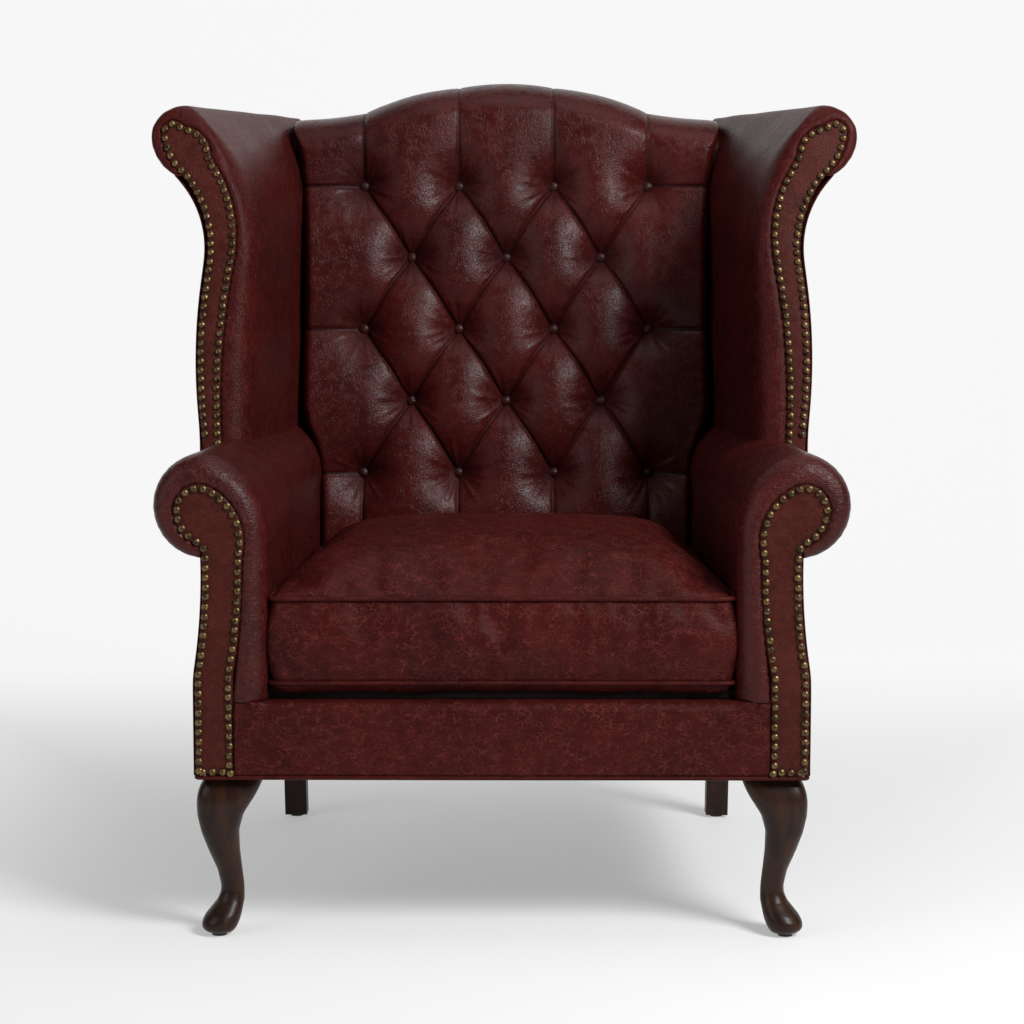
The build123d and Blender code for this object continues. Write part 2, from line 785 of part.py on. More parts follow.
def dimple(x, z):
    """Depth share of the nearest button's dimple."""
    row = min(row_count - 1, max(0, round((button_top_row - z) / button_row_pitch)))
    found = 0.0
    for near_row in (row - 1, row, row + 1):
        if 0 <= near_row < row_count:
            odd = 1 if near_row % 2 == 0 else 0
            across = 2 * round((x / half_pitch - odd) / 2) + odd
            across = max(-last_button_shares + 1 - odd, min(last_button_shares - 1 + odd, across))
            dx, dz = x - across * half_pitch, z - button_top_row + near_row * button_row_pitch
            found = max(found, math.exp(-(math.hypot(dx, dz) / dimple_reach) ** 1.3))
    return found


def back_forward(x, z, down):
    """How far the buttoned surface stands in front of the frame."""
    tuck = back_tuck * ease((tuck_start - z) / (tuck_start - back_foot))
    relief = pleat_depth * (1 - puff(x / half_pitch, down)) + button_depth * dimple(x, z)
    return back_loft - tuck - relief


def back_columns(half):
    steps = last_button_shares * grid_steps
    inner = [half_pitch * i / grid_steps for i in range(-steps, steps + 1)]
    outer = [mix(last_button_shares * half_pitch, half, s) for s in side_shares]
    return [-x for x in reversed(outer)] + inner + outer


def back_row(z_of, down, roll_angle, inset, wall):
    """One row of grid points; wall is how far in front of the frame the side walls end."""
    turn = math.radians(roll_angle or 0.0)
    rolled = roll_angle is not None
    end_drop = crest_roll_height * (1 - math.sin(turn)) + inset * math.sin(turn) if rolled else 0.0
    half = back_half(z_of(crest_end_x) - end_drop, rolled) - inset
    row = []
    for x in back_columns(half):
        z = z_of(x)
        forward = back_forward(x, z, down)
        side = ease((abs(x) - last_button_shares * half_pitch) / (half - last_button_shares * half_pitch))
        forward = mix(forward, seam_loft, side ** 3)
        if rolled:
            swing = (forward + frame_thick) / (1 - math.cos(math.radians(roll_angles[-1])))
            forward = forward - swing * (1 - math.cos(turn))
            z = z - crest_roll_height * (1 - math.sin(turn)) - inset * math.sin(turn)
            forward = forward - inset * math.cos(turn)
        else:
            forward = forward - inset
        row.append(Vector(x, frame_y(z) - forward, z))
    ends = []
    for point in (row[0], row[-1]):
        depth = min(wall, frame_y(point.Z) - point.Y)
        ends.append(Vector(point.X, frame_y(point.Z) - depth, point.Z))
    return [ends[0]] + row + [ends[1]]


def back_grid(inset, wall, last_roll):
    """Rows from the seat to the crest."""
    low_row = button_top_row - (row_count - 1) * button_row_pitch
    foot = back_foot + inset
    rows = [back_row(lambda x, s=s: mix(low_row, foot, s), row_count - 1 + s, None, inset, wall)
            for s in foot_shares]
    under = [Vector(p.X, frame_y(foot) - wall, foot) for p in rows[0]]
    fine = (row_count - 1) * grid_steps
    for i in range(fine, -1, -1):
        z = button_top_row - button_row_pitch * i / grid_steps
        rows.append(back_row(lambda x, z=z: z, i / grid_steps, None, inset, wall))
    for s in rise_shares:
        rows.append(back_row(lambda x, s=s: mix(button_top_row, crest_z(x) - crest_roll_height, s),
                             -s, None, inset, wall))
    for angle in [a for a in roll_angles if a <= last_roll]:
        rows.append(back_row(crest_z, -1.0, angle, inset, wall))
    return [under] + rows


def depth_of(point):
    return frame_y(point.Z) - point.Y


def facets(grid, guide):
    """Two triangles to each cell, split the way that stands out furthest on the guide grid."""
    found = []
    for j, (low, high) in enumerate(zip(grid, grid[1:])):
        for i in range(len(low) - 1):
            a, b, c, d = low[i], low[i + 1], high[i + 1], high[i]
            rising = depth_of(guide[j][i]) + depth_of(guide[j + 1][i + 1])
            falling = depth_of(guide[j][i + 1]) + depth_of(guide[j + 1][i])
            split = [(a, b, c), (a, c, d)] if rising > falling else [(a, b, d), (b, c, d)]
            found += [t for t in split if Face(Wire.make_polygon(t)).area > gap * gap]
    return found


def rim_of(grid):
    """Boundary points of a grid, once round."""
    right = [row[-1] for row in grid[1:-1]]
    left = [row[0] for row in reversed(grid[1:-1])]
    return list(grid[0]) + right + list(reversed(grid[-1])) + left


def back_skin():
    outer, inner = back_grid(0.0, gap, roll_angles[-1]), back_grid(leather, gap, roll_angles[-1])
    triangles = facets(outer, outer) + facets(inner, outer)
    rim_out, rim_in = rim_of(outer), rim_of(inner)
    for i in range(len(rim_out)):
        a, b, c, d = rim_out[i - 1], rim_out[i], rim_in[i], rim_in[i - 1]
        for t in ((a, b, c), (a, c, d)):
            if len({(round(p.X, 4), round(p.Y, 4), round(p.Z, 4)) for p in t}) == 3:
                triangles.append(t)
    return solid_of(triangles)


def back_stuffing():
    """Stuffing that fills the cover, flat where it lies on the frame and the webbing."""
    last = roll_angles[-2]
    grid = back_grid(leather + 3 * gap, gap, last)
    grid[-1] = [Vector(p.X, frame_y(p.Z) - gap, p.Z) for p in grid[-1]]
    return solid_of(facets(grid, back_grid(0.0, gap, last)), [rim_of(grid)])


add("back_cover", back_skin())
add("back_pad", back_stuffing())

# Buttons of the back, each seated in its dimple
button_radius = 7.5
button_lift = 10.8
button_seat = 3.2
button_sides = 8
# Height above the seat and radius of each ring, as shares of the button's lift and radius
button_ring_shares = ((0.0, 0.27), (1.0, 1.0), (1.33, 0.78), (1.55, 0.3))


def back_button(across, row):
    """Domed button on a tapered shank, square to the leaning back."""
    x, z = across * half_pitch, button_top_row - row * button_row_pitch
    tuck = back_tuck * ease((tuck_start - z) / (tuck_start - back_foot))
    forward = back_loft - tuck - pleat_depth - button_depth
    place = Plane(origin=(x, frame_y(z) - forward, z), x_dir=(1, 0, 0), z_dir=(0, -1, tan_lean))
    rings = []
    for height_share, radius_share in button_ring_shares:
        height = button_seat + height_share * (button_lift - button_seat)
        turns = [2 * math.pi * i / button_sides for i in range(button_sides)]
        radius = radius_share * button_radius
        around = [Vector(radius * math.cos(turn), radius * math.sin(turn), height) for turn in turns]
        rings.append([place.from_local_coords(point) for point in around])
    return faceted(rings)


across_range = range(-last_button_shares, last_button_shares + 1)
rows_of_buttons = [(across, row) for row in range(row_count) for across in across_range if (across + row) % 2]
add_group("back_buttons", [back_button(across, row) for across, row in rows_of_buttons])

# Webbing of the back, tacked across the rear of the frame
back_webbing_z = (520.0, 640.0, 760.0, 880.0)
back_strap_half = upright_outer - gap
back_strap_near = -frame_thick - gap
add_group("back_webbing", [leaning_polygon([
    (-back_strap_half, z), (back_strap_half, z), (back_strap_half, z + strap_width),
    (-back_strap_half, z + strap_width)], back_strap_near, back_strap_near - strap_thick)
    for z in back_webbing_z])

# Outside back: straight below the hip, leaning above it
outside_half = base_rear_half - gap
outside_near = -outside_back_front
outside_far = -outside_back_rear
outside_corner_z = wing_top_rear - 3 * panel_thick
leaning_back = leaning((-outside_half, hip_height), [
    ((-outside_half, outside_corner_z),),
    ((-crest_end_x, crest_z(crest_end_x) - outside_back_drop),),
    *crest_steps(crest_end_x, outside_back_drop, hip_height)[1][1:4],
    ((outside_half, outside_corner_z),),
    ((outside_half, hip_height),)], outside_near, outside_far)
low_back = slab(-outside_half, outside_half, frame_front_y - outside_near, frame_front_y - outside_far,
                base_bottom, hip_height)
add("outside_back", leaning_back + low_back)

# Suspension of the seat: straps over the rails, hessian, pad and deck cover
web_low = rail_top + gap
long_strap_count = 7
cross_strap_count = 6
long_z = web_low + strap_thick
cross_z = long_z + gap
hessian_low = cross_z + strap_thick + gap
hessian_thick = 0.8
deck_low = hessian_low + hessian_thick + gap
deck_skin = 2.0
deck_front = front_rail_y + rail_thick + 4 * gap


def deck_half(y, inset):
    return arm_point(arm_over_shares[0], y, 0.0).X - inset


long_strap_pitch = 2 * (upright_inner - 4 * gap - strap_width / 2) / (long_strap_count - 1)
long_straps = []
for i in range(long_strap_count):
    x = (i - (long_strap_count - 1) / 2) * long_strap_pitch
    long_straps.append(slab(x - strap_width / 2, x + strap_width / 2, front_rail_y, rear_rail_rear,
                            web_low, long_z))
add_group("seat_webbing_long", long_straps)
cross_straps = []
cross_first = deck_front + strap_width
cross_last = frame_front_y - 2 * strap_width
for i in range(cross_strap_count):
    y0 = mix(cross_first, cross_last, i / (cross_strap_count - 1))
    y1 = y0 + strap_width
    reach0, reach1 = side_rail_outer(y0) - gap, side_rail_outer(y1) - gap
    cross_straps.append(plan_prism([(-reach0, y0), (reach0, y0), (reach1, y1), (-reach1, y1)],
                                   cross_z, cross_z + strap_thick))
add_group("seat_webbing_cross", cross_straps)
hessian_rear = frame_front_y - gap
hessian_front_half = facing_inner_low - gap
add("seat_hessian", plan_prism(mirrored([
    (hessian_front_half, front_rail_y), (hessian_front_half, side_rail_front),
    (side_rail_outer(side_rail_front) - gap, side_rail_front),
    (side_rail_outer(hessian_rear) - gap, hessian_rear)]),
    hessian_low, hessian_low + hessian_thick))


def deck_plan(inset):
    front, rear = deck_front, frame_front_y - gap
    a, b = deck_half(front, inset), deck_half(rear, inset)
    return [(-a, front), (a, front), (b, rear), (-b, rear)]


deck_pad_top = deck_top - deck_skin
add("deck_pad", plan_prism(deck_plan(2 * gap), deck_low, deck_pad_top - gap))
add("deck_cover", plan_prism(deck_plan(gap), deck_pad_top, deck_top))

# Front border: leather band over the front rail, padded behind, turning over the top edge
border_half = facing_inner_low - gap
border_round = 12.0
border_back = deck_front - gap
border_low = arm_foot - gap - leather


def border_strip(x0):
    """Side profile of the band: up the front, round the edge and back along the top."""
    inner = border_round - leather
    def at(y, z):
        return Vector(x0, y, z)
    top = border_low + leather
    turn = 1 - math.sqrt(0.5)
    return wire_of(at(0.0, base_bottom), [
        (at(0.0, top - border_round),),
        (at(border_round * turn, top - border_round * turn), at(border_round, top)),
        (at(border_back, top),), (at(border_back, border_low),), (at(border_round, border_low),),
        (at(leather + inner * turn, border_low - inner * turn), at(leather, top - border_round)),
        (at(leather, base_bottom),)])


add("front_border", Solid.extrude(Face(border_strip(-border_half)), Vector(2 * border_half, 0, 0)))
add("front_edge_pad", slab(gap - border_half, border_half - gap, leather + gap, front_rail_y - gap,
                           base_bottom + gap, arm_foot - 2 * gap - border_round))

# Piped band round the lower edge, and the dust cover
band_radius = 2.4
band_z = base_bottom - gap - band_radius
band_corner = 9.0
band_front = band_radius + gap
band_rear = frame_y(hip_height) - outside_far - band_radius
dust_thick = 1.0
corner_facets = 3
side_facets = 4
tube_sides = 6


def plan_ring(front_half, rear_half, front, rear, corner, z, draw=0.0):
    """Points round a tapered plan with rounded corners and sides drawn in by draw."""
    corners = [Vector(-front_half, front, z), Vector(front_half, front, z), Vector(rear_half, rear, z),
               Vector(-rear_half, rear, z)]
    ring = []
    for i, here in enumerate(corners):
        before, after = corners[i - 1], corners[(i + 1) % len(corners)]
        near = here + (before - here).normalized() * corner
        far = here + (after - here).normalized() * corner
        for j in range(corner_facets + 1):
            share = j / corner_facets
            ring.append(near * (1 - share) ** 2 + here * (2 * share * (1 - share)) + far * share ** 2)
        end = after + (here - after).normalized() * corner
        inward = Vector(0, 0, 1).cross((after - here).normalized())
        for j in range(1, side_facets):
            share = j / side_facets
            ring.append(far * (1 - share) + end * share + inward * (draw * (1 - (2 * share - 1) ** 2)))
    return ring


def tube_round(ring, radius):
    """Closed tube along a ring of points in one level plane."""
    rings = []
    for i, here in enumerate(ring):
        heading = (ring[(i + 1) % len(ring)] - ring[i - 1]).normalized()
        outward = heading.cross(Vector(0, 0, 1))
        turns = [2 * math.pi * (j + 0.5) / tube_sides for j in range(tube_sides)]
        rings.append([here + outward * (radius * math.cos(turn)) + Vector(0, 0, radius * math.sin(turn))
                      for turn in turns])
    return faceted(rings, closed=True)


band_loop = plan_ring(base_front_half - band_radius, base_half(band_rear) - band_radius,
                      band_front, band_rear, band_corner, band_z)
add("base_piping", tube_round(band_loop, band_radius))
dust_top = rail_bottom - gap
leg_room = leg_width * leg_block_share + 4 * gap
dust_half = leg_knee_x - leg_room
dust_side_front = leg_knee_y + leg_room


add("dust_cover", plan_prism(mirrored([
    (dust_half, front_rail_y), (dust_half, dust_side_front),
    (side_rail_outer(dust_side_front), dust_side_front),
    (side_rail_outer(side_rail_rear), side_rail_rear), (upright_inner - gap, side_rail_rear),
    (upright_inner - gap, rear_rail_rear)]), dust_top - dust_thick, dust_top))

# Seat cushion: boxed and piped, crowned above and slightly bellied below
plan_corner_growth = 0.35
corner_limit_share = 0.8
crown_shares = (0.0, 0.1, 0.24, 0.44, 0.7, 1.0)
belly_shares = (0.0, 0.4, 1.0)
crown_power = 2.2
belly_power = 2.0


def cushion_ring(z, inset):
    half_depth = (cushion_rear_y - cushion_front_y) / 2 - inset
    corner = min(cushion_corner + plan_corner_growth * max(0.0, inset), corner_limit_share * half_depth)
    return plan_ring(cushion_front_half - inset, cushion_rear_half - inset, cushion_front_y + inset,
                     cushion_rear_y - inset, corner, z, cushion_draw * (1 - max(0.0, inset) / crown_inset))


def cushion_form(shrink):
    """Whole cushion, shrunk evenly by shrink."""
    low, high = welt_low + shrink / 2, welt_high - shrink / 2
    rise, drop = crown_rise - shrink / 2, low - cushion_bottom - shrink
    rings = [cushion_ring(low - drop * (1 - (1 - s) ** belly_power), mix(shrink, belly_inset, s))
             for s in reversed(belly_shares)]
    rings.append(cushion_ring((low + high) / 2, shrink - cushion_bulge))
    rings += [cushion_ring(high + rise * (1 - (1 - s) ** crown_power), mix(shrink, crown_inset, s))
              for s in crown_shares]
    return faceted(rings)


add("cushion_cover", cushion_form(0.0) - cushion_form(leather))
add("cushion_core", cushion_form(leather + gap))
piping_out = -piping_radius - gap
for edge_name, edge_z in (("top", welt_high), ("bottom", welt_low)):
    add("cushion_piping_" + edge_name, tube_round(cushion_ring(edge_z, piping_out), piping_radius))

# Zip in the rear boxing of the cushion
zip_half = 180.0
zip_width = 14.0
zip_thick = 1.5
zip_reach = cushion_rear_half - cushion_corner
zip_sag = cushion_draw * (1 - (1 - 2 / side_facets) ** 2) * (1 - zip_half / zip_reach) / (2 / side_facets)
zip_y = cushion_rear_y + cushion_bulge - zip_sag + gap
zip_z = (welt_low + welt_high) / 2
add("cushion_zip", slab(-zip_half, zip_half, zip_y, zip_y + zip_thick,
                        zip_z - zip_width / 2, zip_z + zip_width / 2))

# Cabriole front legs: height, outer side, inner side and rounding, as shares
leg_shares = [
    (1.0, 0.16, leg_block_share, 0.1),
    (0.965, 0.15, leg_block_share, 0.1),
    (0.93, 0.08, leg_block_share, 0.13),
    (0.88, 0.027, 1.027, 0.16),
    (0.802, 0.0, 0.893, 0.24),
    (0.73, 0.013, 0.747, 0.34),
    (0.632, 0.067, 0.673, 0.42),
    (0.51, 0.173, 0.68, 0.47),
    (0.389, 0.3, 0.707, 0.48),
    (0.292, 0.353, 0.733, 0.48),
    (0.204, 0.293, 0.733, 0.48),
    (0.136, 0.153, 0.727, 0.48),
    (0.078, 0.067, 0.693, 0.48),
    (0.039, 0.06, 0.64, 0.48),
    (0.019, 0.107, 0.573, 0.48),
]


def leg_ring(row):
    """Points round one section of the leg, a square with rounded corners."""
    height_share, out_share, in_share, round_share = row
    z = max(leg_height * height_share, glide_height + gap / 3)
    half = (in_share - out_share) / 2 * leg_width
    middle = (in_share + out_share) / 2 * leg_width
    corner = 2 * half * round_share
    ring = []
    for quarter in range(4):
        for j in range(leg_corner_facets + 1):
            turn = math.pi / 2 * (quarter + j / leg_corner_facets)
            sign_x = 1 if quarter in (0, 3) else -1
            sign_y = 1 if quarter < 2 else -1
            ring.append(Vector(leg_knee_x - middle + sign_x * (half - corner) + corner * math.cos(turn),
                               leg_knee_y + middle + sign_y * (half - corner) + corner * math.sin(turn), z))
    return ring


pair("front_leg", faceted([leg_ring(row) for row in leg_shares]) - bolt_holes[0])

# Glides under the four feet
foot_in = leg_width * (leg_shares[-1][1] + leg_shares[-1][2]) / 2
front_foot = (leg_knee_x - foot_in, leg_knee_y + foot_in)
rear_foot = ((upright_inner + upright_outer) / 2, rear_foot_y + rear_leg_foot / 2)
add_group("foot_glides", [upright_bolt(glide_radius, s * x, y, 0.0, glide_height)
                          for x, y in (front_foot, rear_foot) for s in (1, -1)])

os.makedirs("parts", exist_ok=True)
for name, shape in nodes.items():
    placed = [Pos(0, -overall_depth / 2, 0) * solid for solid in shape.solids()]
    export_step(placed[0] if len(placed) == 1 else Compound(placed), "parts/" + name + ".step")
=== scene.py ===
"""Wingback chair: deep-buttoned leather, scroll arms, flared wings, brass nails and dark cabriole legs.

Points are worked out in millimetres, with y counted back from the front of the arm facings and z up from the floor,
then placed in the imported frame, which is in metres. Left and right are as seen from the front, +X on the right.
"""

import logging
import math
from dataclasses import dataclass, field
from enum import Enum
from typing import Callable, Iterable, Optional, Sequence

import bmesh
import bpy
import mathutils
import mathutils.geometry
import numpy as np
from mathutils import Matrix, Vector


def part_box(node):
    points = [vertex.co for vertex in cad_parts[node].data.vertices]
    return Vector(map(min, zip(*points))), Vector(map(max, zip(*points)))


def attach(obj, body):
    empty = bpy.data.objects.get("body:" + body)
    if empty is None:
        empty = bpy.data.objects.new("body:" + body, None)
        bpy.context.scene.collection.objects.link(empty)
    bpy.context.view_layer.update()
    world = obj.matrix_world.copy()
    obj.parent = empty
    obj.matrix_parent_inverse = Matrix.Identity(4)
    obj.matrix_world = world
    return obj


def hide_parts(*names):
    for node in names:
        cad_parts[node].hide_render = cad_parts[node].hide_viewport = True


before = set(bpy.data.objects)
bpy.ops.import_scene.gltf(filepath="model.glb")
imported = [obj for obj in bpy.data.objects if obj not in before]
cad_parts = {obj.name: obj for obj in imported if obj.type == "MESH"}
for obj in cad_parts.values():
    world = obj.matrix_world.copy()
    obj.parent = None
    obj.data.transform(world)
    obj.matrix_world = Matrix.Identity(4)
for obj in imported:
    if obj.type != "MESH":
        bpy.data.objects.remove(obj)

logging.basicConfig(level=logging.INFO, format="%(message)s")
log = logging.getLogger("wingback")

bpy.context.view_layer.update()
FRONT_PLANE_Y = float(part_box("right_arm_facing")[0][1])
SEED = 11
MM = 1000.0

# The back frame leans from the hip up: its front and rear faces, and how far back the side covers reach (mm).
HIP_Z = 300.0
FRAME_FRONT_Y = 636.0
LEAN = math.tan(math.radians(9.0))
FRAME_REAR = 36.2
COVER_REAR = 35.4

# Leather thickness and merge distance (m), smallest area of an arc's triangle, places of the nails (mm).
LEATHER = 0.0016
WELD = 0.00002
ARC_EPSILON = 1e-6
NAIL_INSET = 5.2
NAIL_SINK = -0.4
WING_NAILS_FOOT = 588.0


class Side(Enum):
    """Which side of the chair a mirrored piece is on."""

    RIGHT = 1
    LEFT = -1

    @property
    def word(self) -> str:
        """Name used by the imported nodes."""
        return self.name.lower()


def frame_y(z: np.ndarray | float) -> np.ndarray | float:
    """Front face of the leaning back frame at a height, in millimetres.

    Args:
        z: height above the floor.

    Returns:
        Distance behind the front plane.
    """
    return FRAME_FRONT_Y + (z - HIP_Z) * LEAN


def mix(a: float, b: float, share: float) -> float:
    """Value at a share of the way from a to b."""
    return a + (b - a) * share


def off_whole(value: np.ndarray) -> np.ndarray:
    """Distance to the nearest whole number."""
    return np.abs(value - np.round(value))


def smooth_share(value: np.ndarray | float) -> np.ndarray | float:
    """Clamped smooth step from 0 to 1."""
    share = np.clip(value, 0.0, 1.0)
    return share * share * (3.0 - 2.0 * share)


# ---------------------------------------------------------------- shader sockets


class Graph:
    """Builds one material's nodes."""

    def __init__(self, name: str) -> None:
        """Starts an empty node material.

        Args:
            name: material name.
        """
        self.material = bpy.data.materials.new(name)
        self.material.use_nodes = True
        self.tree = self.material.node_tree
        self.tree.nodes.clear()
        self.output = self.tree.nodes.new("ShaderNodeOutputMaterial")

    def node(self, kind: str, settings: Optional[dict] = None, **values: object) -> bpy.types.Node:
        """Adds a node.

        Args:
            kind: node type name.
            settings: properties set before the sockets.
            values: socket values or links by socket name, with underscores for spaces.

        Returns:
            The new node.
        """
        made = self.tree.nodes.new(kind)
        for key, value in (settings or {}).items():
            setattr(made, key, value)
        for key, value in values.items():
            self.feed(made, key.replace("_", " "), value)
        return made

    def feed(self, node: bpy.types.Node, name: str | int, value: object) -> None:
        """Sets or links one input socket.

        Args:
            node: node that owns the socket.
            name: socket name or index.
            value: number, tuple, Wire or socket.
        """
        socket = node.inputs[name]
        if isinstance(value, Wire):
            self.tree.links.new(value.socket, socket)
        elif isinstance(value, bpy.types.NodeSocket):
            self.tree.links.new(value, socket)
        else:
            socket.default_value = value

    def math(self, operation: str, *parts: object) -> "Wire":
        """Math node on wires and numbers.

        Args:
            operation: its kind.
            parts: wires or numbers.

        Returns:
            The result.
        """
        made = self.tree.nodes.new("ShaderNodeMath")
        made.operation = operation
        for index, part in enumerate(parts):
            self.feed(made, index, part)
        return Wire(self, made.outputs[0])

    def blend(self, factor: object, first: object, second: object) -> "Wire":
        """Colour mix of two colours or wires.

        Args:
            factor: share of the second.
            first: colour or wire.
            second: colour or wire.

        Returns:
            The mixed colour.
        """
        made = self.tree.nodes.new("ShaderNodeMix")
        made.data_type = "RGBA"
        self.feed(made, 0, factor)
        self.feed(made, 6, first)
        self.feed(made, 7, second)
        return Wire(self, made.outputs[2])

    def coordinates(self) -> "Wire":
        """Object coordinates, in metres."""
        return Wire(self, self.node("ShaderNodeTexCoord").outputs["Object"])

    def stretched(self, vector: "Wire", scale: Sequence[float], turn: Sequence[float] = (0, 0, 0)) -> "Wire":
        """Coordinates scaled per axis and turned."""
        made = self.node("ShaderNodeMapping", Vector=vector, Scale=tuple(scale), Rotation=tuple(turn))
        return Wire(self, made.outputs[0])

    def noise(self, vector: "Wire", scale: float, detail: float = 4.0, roughness: float = 0.55) -> "Wire":
        """Noise value at a scale per metre."""
        made = self.node("ShaderNodeTexNoise", Vector=vector, Scale=scale, Detail=detail, Roughness=roughness)
        return Wire(self, made.outputs[0])

    def warped(self, vector: "Wire", scale: float, reach: float) -> "Wire":
        """Coordinates pushed about by noise.

        Args:
            vector: coordinates.
            scale: noise scale per metre.
            reach: size of the push in metres.

        Returns:
            The new coordinates.
        """
        made = self.node("ShaderNodeTexNoise", Vector=vector, Scale=scale, Detail=3.0)
        push = self.node("ShaderNodeVectorMath", {"operation": "MULTIPLY_ADD"})
        self.feed(push, 0, Wire(self, made.outputs[1]))
        self.feed(push, 1, (reach, reach, reach))
        self.feed(push, 2, vector)
        return Wire(self, push.outputs[0])

    def cells(self, vector: "Wire", scale: float, feature: str = "DISTANCE_TO_EDGE") -> "Wire":
        """Voronoi distance at a scale per metre."""
        made = self.node("ShaderNodeTexVoronoi", {"feature": feature}, Vector=vector, Scale=scale)
        return Wire(self, made.outputs[0])

    def attribute(self, name: str) -> "Wire":
        """Stored value of the mesh."""
        made = self.node("ShaderNodeAttribute", {"attribute_name": name})
        return Wire(self, made.outputs["Fac"])

    def finish(self, shader: bpy.types.Node) -> bpy.types.Material:
        """Links the shader to the output."""
        self.tree.links.new(shader.outputs[0], self.output.inputs[0])
        return self.material

    def surface(self, base: "Wire", rough: object, height: "Wire", strength: float, distance: float,
                **constants: float) -> bpy.types.Material:
        """Finishes the material as a principled surface with a bump.

        Args:
            base: colour.
            rough: roughness.
            height: bump height.
            strength: bump strength.
            distance: bump depth in metres.
            constants: more values of the principled shader.

        Returns:
            The node material.
        """
        bump = self.node("ShaderNodeBump", Height=height, Strength=strength, Distance=distance)
        return self.finish(self.node("ShaderNodeBsdfPrincipled", Base_Color=base, Roughness=rough,
                                     Normal=bump.outputs[0], **constants))


class Wire:
    """A shader socket that takes part in Python sums."""

    def __init__(self, graph: Graph, socket: bpy.types.NodeSocket) -> None:
        """Wraps one output socket."""
        self.graph = graph
        self.socket = socket

    def __add__(self, other: object) -> "Wire":
        """Sum."""
        return self.graph.math("ADD", self, other)

    __radd__ = __add__

    def __sub__(self, other: object) -> "Wire":
        """Difference."""
        return self.graph.math("SUBTRACT", self, other)

    def __rsub__(self, other: object) -> "Wire":
        """Reflected difference."""
        return self.graph.math("SUBTRACT", other, self)

    def __mul__(self, other: object) -> "Wire":
        """Product."""
        return self.graph.math("MULTIPLY", self, other)

    __rmul__ = __mul__

    def step(self, low: float, high: float) -> "Wire":
        """Smooth step from 0 at low to 1 at high.

        Args:
            low: where it starts.
            high: where it ends.

        Returns:
            The step.
        """
        made = self.graph.node("ShaderNodeMapRange", {"interpolation_type": "SMOOTHSTEP"})
        for index, value in ((0, self), (1, low), (2, high), (3, 0.0), (4, 1.0)):
            self.graph.feed(made, index, value)
        return Wire(self.graph, made.outputs[0])


# ---------------------------------------------------------------- finishes


@dataclass(frozen=True)
class Hide:
    """Antiqued oxblood leather.

    The crackle is a broken net of paler hairlines; painted shade darkens the creases, seams and dimples where the
    mesh's values say so.
    """

    name: str = "oxblood_hide"
    deep: tuple = (0.0285, 0.0035, 0.0030, 1.0)
    rich: tuple = (0.0550, 0.0058, 0.0050, 1.0)
    brown: tuple = (0.0350, 0.0070, 0.0046, 1.0)
    crackle: tuple = (0.125, 0.024, 0.020, 1.0)
    crackle_strength: float = 0.36
    cell_scale: float = 180.0
    stretch: tuple = (1.35, 1.35, 0.8)
    roughness: float = 0.36
    sheen: float = 0.085
    bump: float = 0.55
    wrinkle: tuple = (42.0, 42.0, 130.0)
    wrinkle_depth: float = 0.0
    # whether painted shade is laid into the creases, seams and dimples that the mesh marks
    crease_shading: bool = False

    def build(self) -> bpy.types.Material:
        """Makes the node material."""
        g = Graph(self.name)
        place = g.coordinates()
        along = g.stretched(place, self.stretch)
        cloud = g.noise(place, 7.0, 3.0)
        mottle = g.noise(place, 38.0, 5.0, 0.62)
        base = g.blend((cloud * 0.75 + mottle * 0.55).step(0.42, 0.86), self.deep, self.rich)
        stain = g.noise(g.stretched(place, (1.0, 1.0, 1.3)), 13.0, 4.0).step(0.53, 0.72)
        base = g.blend(stain * 0.45, base, self.brown)
        bent = g.warped(along, 52.0, 0.017)
        fine = g.warped(along, 95.0, 0.011)
        big_net = 1.0 - g.cells(bent, self.cell_scale).step(0.01, 0.10)
        small_net = 1.0 - g.cells(fine, self.cell_scale * 1.7).step(0.01, 0.13)
        broken = g.noise(place, 70.0, 3.0, 0.65).step(0.40, 0.62)
        turned = g.stretched(place, (1.0, 1.0, 1.0), (0.5, 0.3, 0.2))
        broken_fine = g.noise(turned, 85.0, 3.0, 0.65).step(0.44, 0.66)
        net = g.math("MAXIMUM", big_net * broken, small_net * broken_fine * 0.75)
        base = g.blend(net * self.crackle_strength, base, self.crackle)
        pores = g.cells(g.warped(place, 300.0, 0.0012), 620.0, "F1")
        base = g.blend(pores.step(0.35, 0.75) * 0.22, base, self.deep)
        rough = self.roughness + (mottle - 0.5) * 0.16 + net * 0.10
        height = pores * -0.35 + g.noise(place, 210.0, 4.0, 0.6) * 0.5 - net * 0.3 + mottle * 0.3
        if self.wrinkle_depth:
            folds = g.noise(g.stretched(g.warped(place, 30.0, 0.012), self.wrinkle), 1.0, 3.0, 0.55)
            height = height + folds * self.wrinkle_depth
            # painted shade: the troughs of the folds are darkened towards the deep colour
            base = g.blend((0.5 - folds).step(0.0, 0.16) * 0.35, base, self.deep)
        if self.crease_shading:
            crease_shade = g.attribute("crease_shade")
            # painted shade: the colour darkens to near black in creases, along seams and round the buttons
            base = g.blend(crease_shade * 0.78, base, (0.010, 0.0026, 0.0024, 1.0))
            rough = rough + crease_shade * 0.2
            height = height + g.attribute("pull") * 1.2
        return g.surface(base, rough, height, self.bump, 0.0011, Specular_IOR_Level=self.sheen)


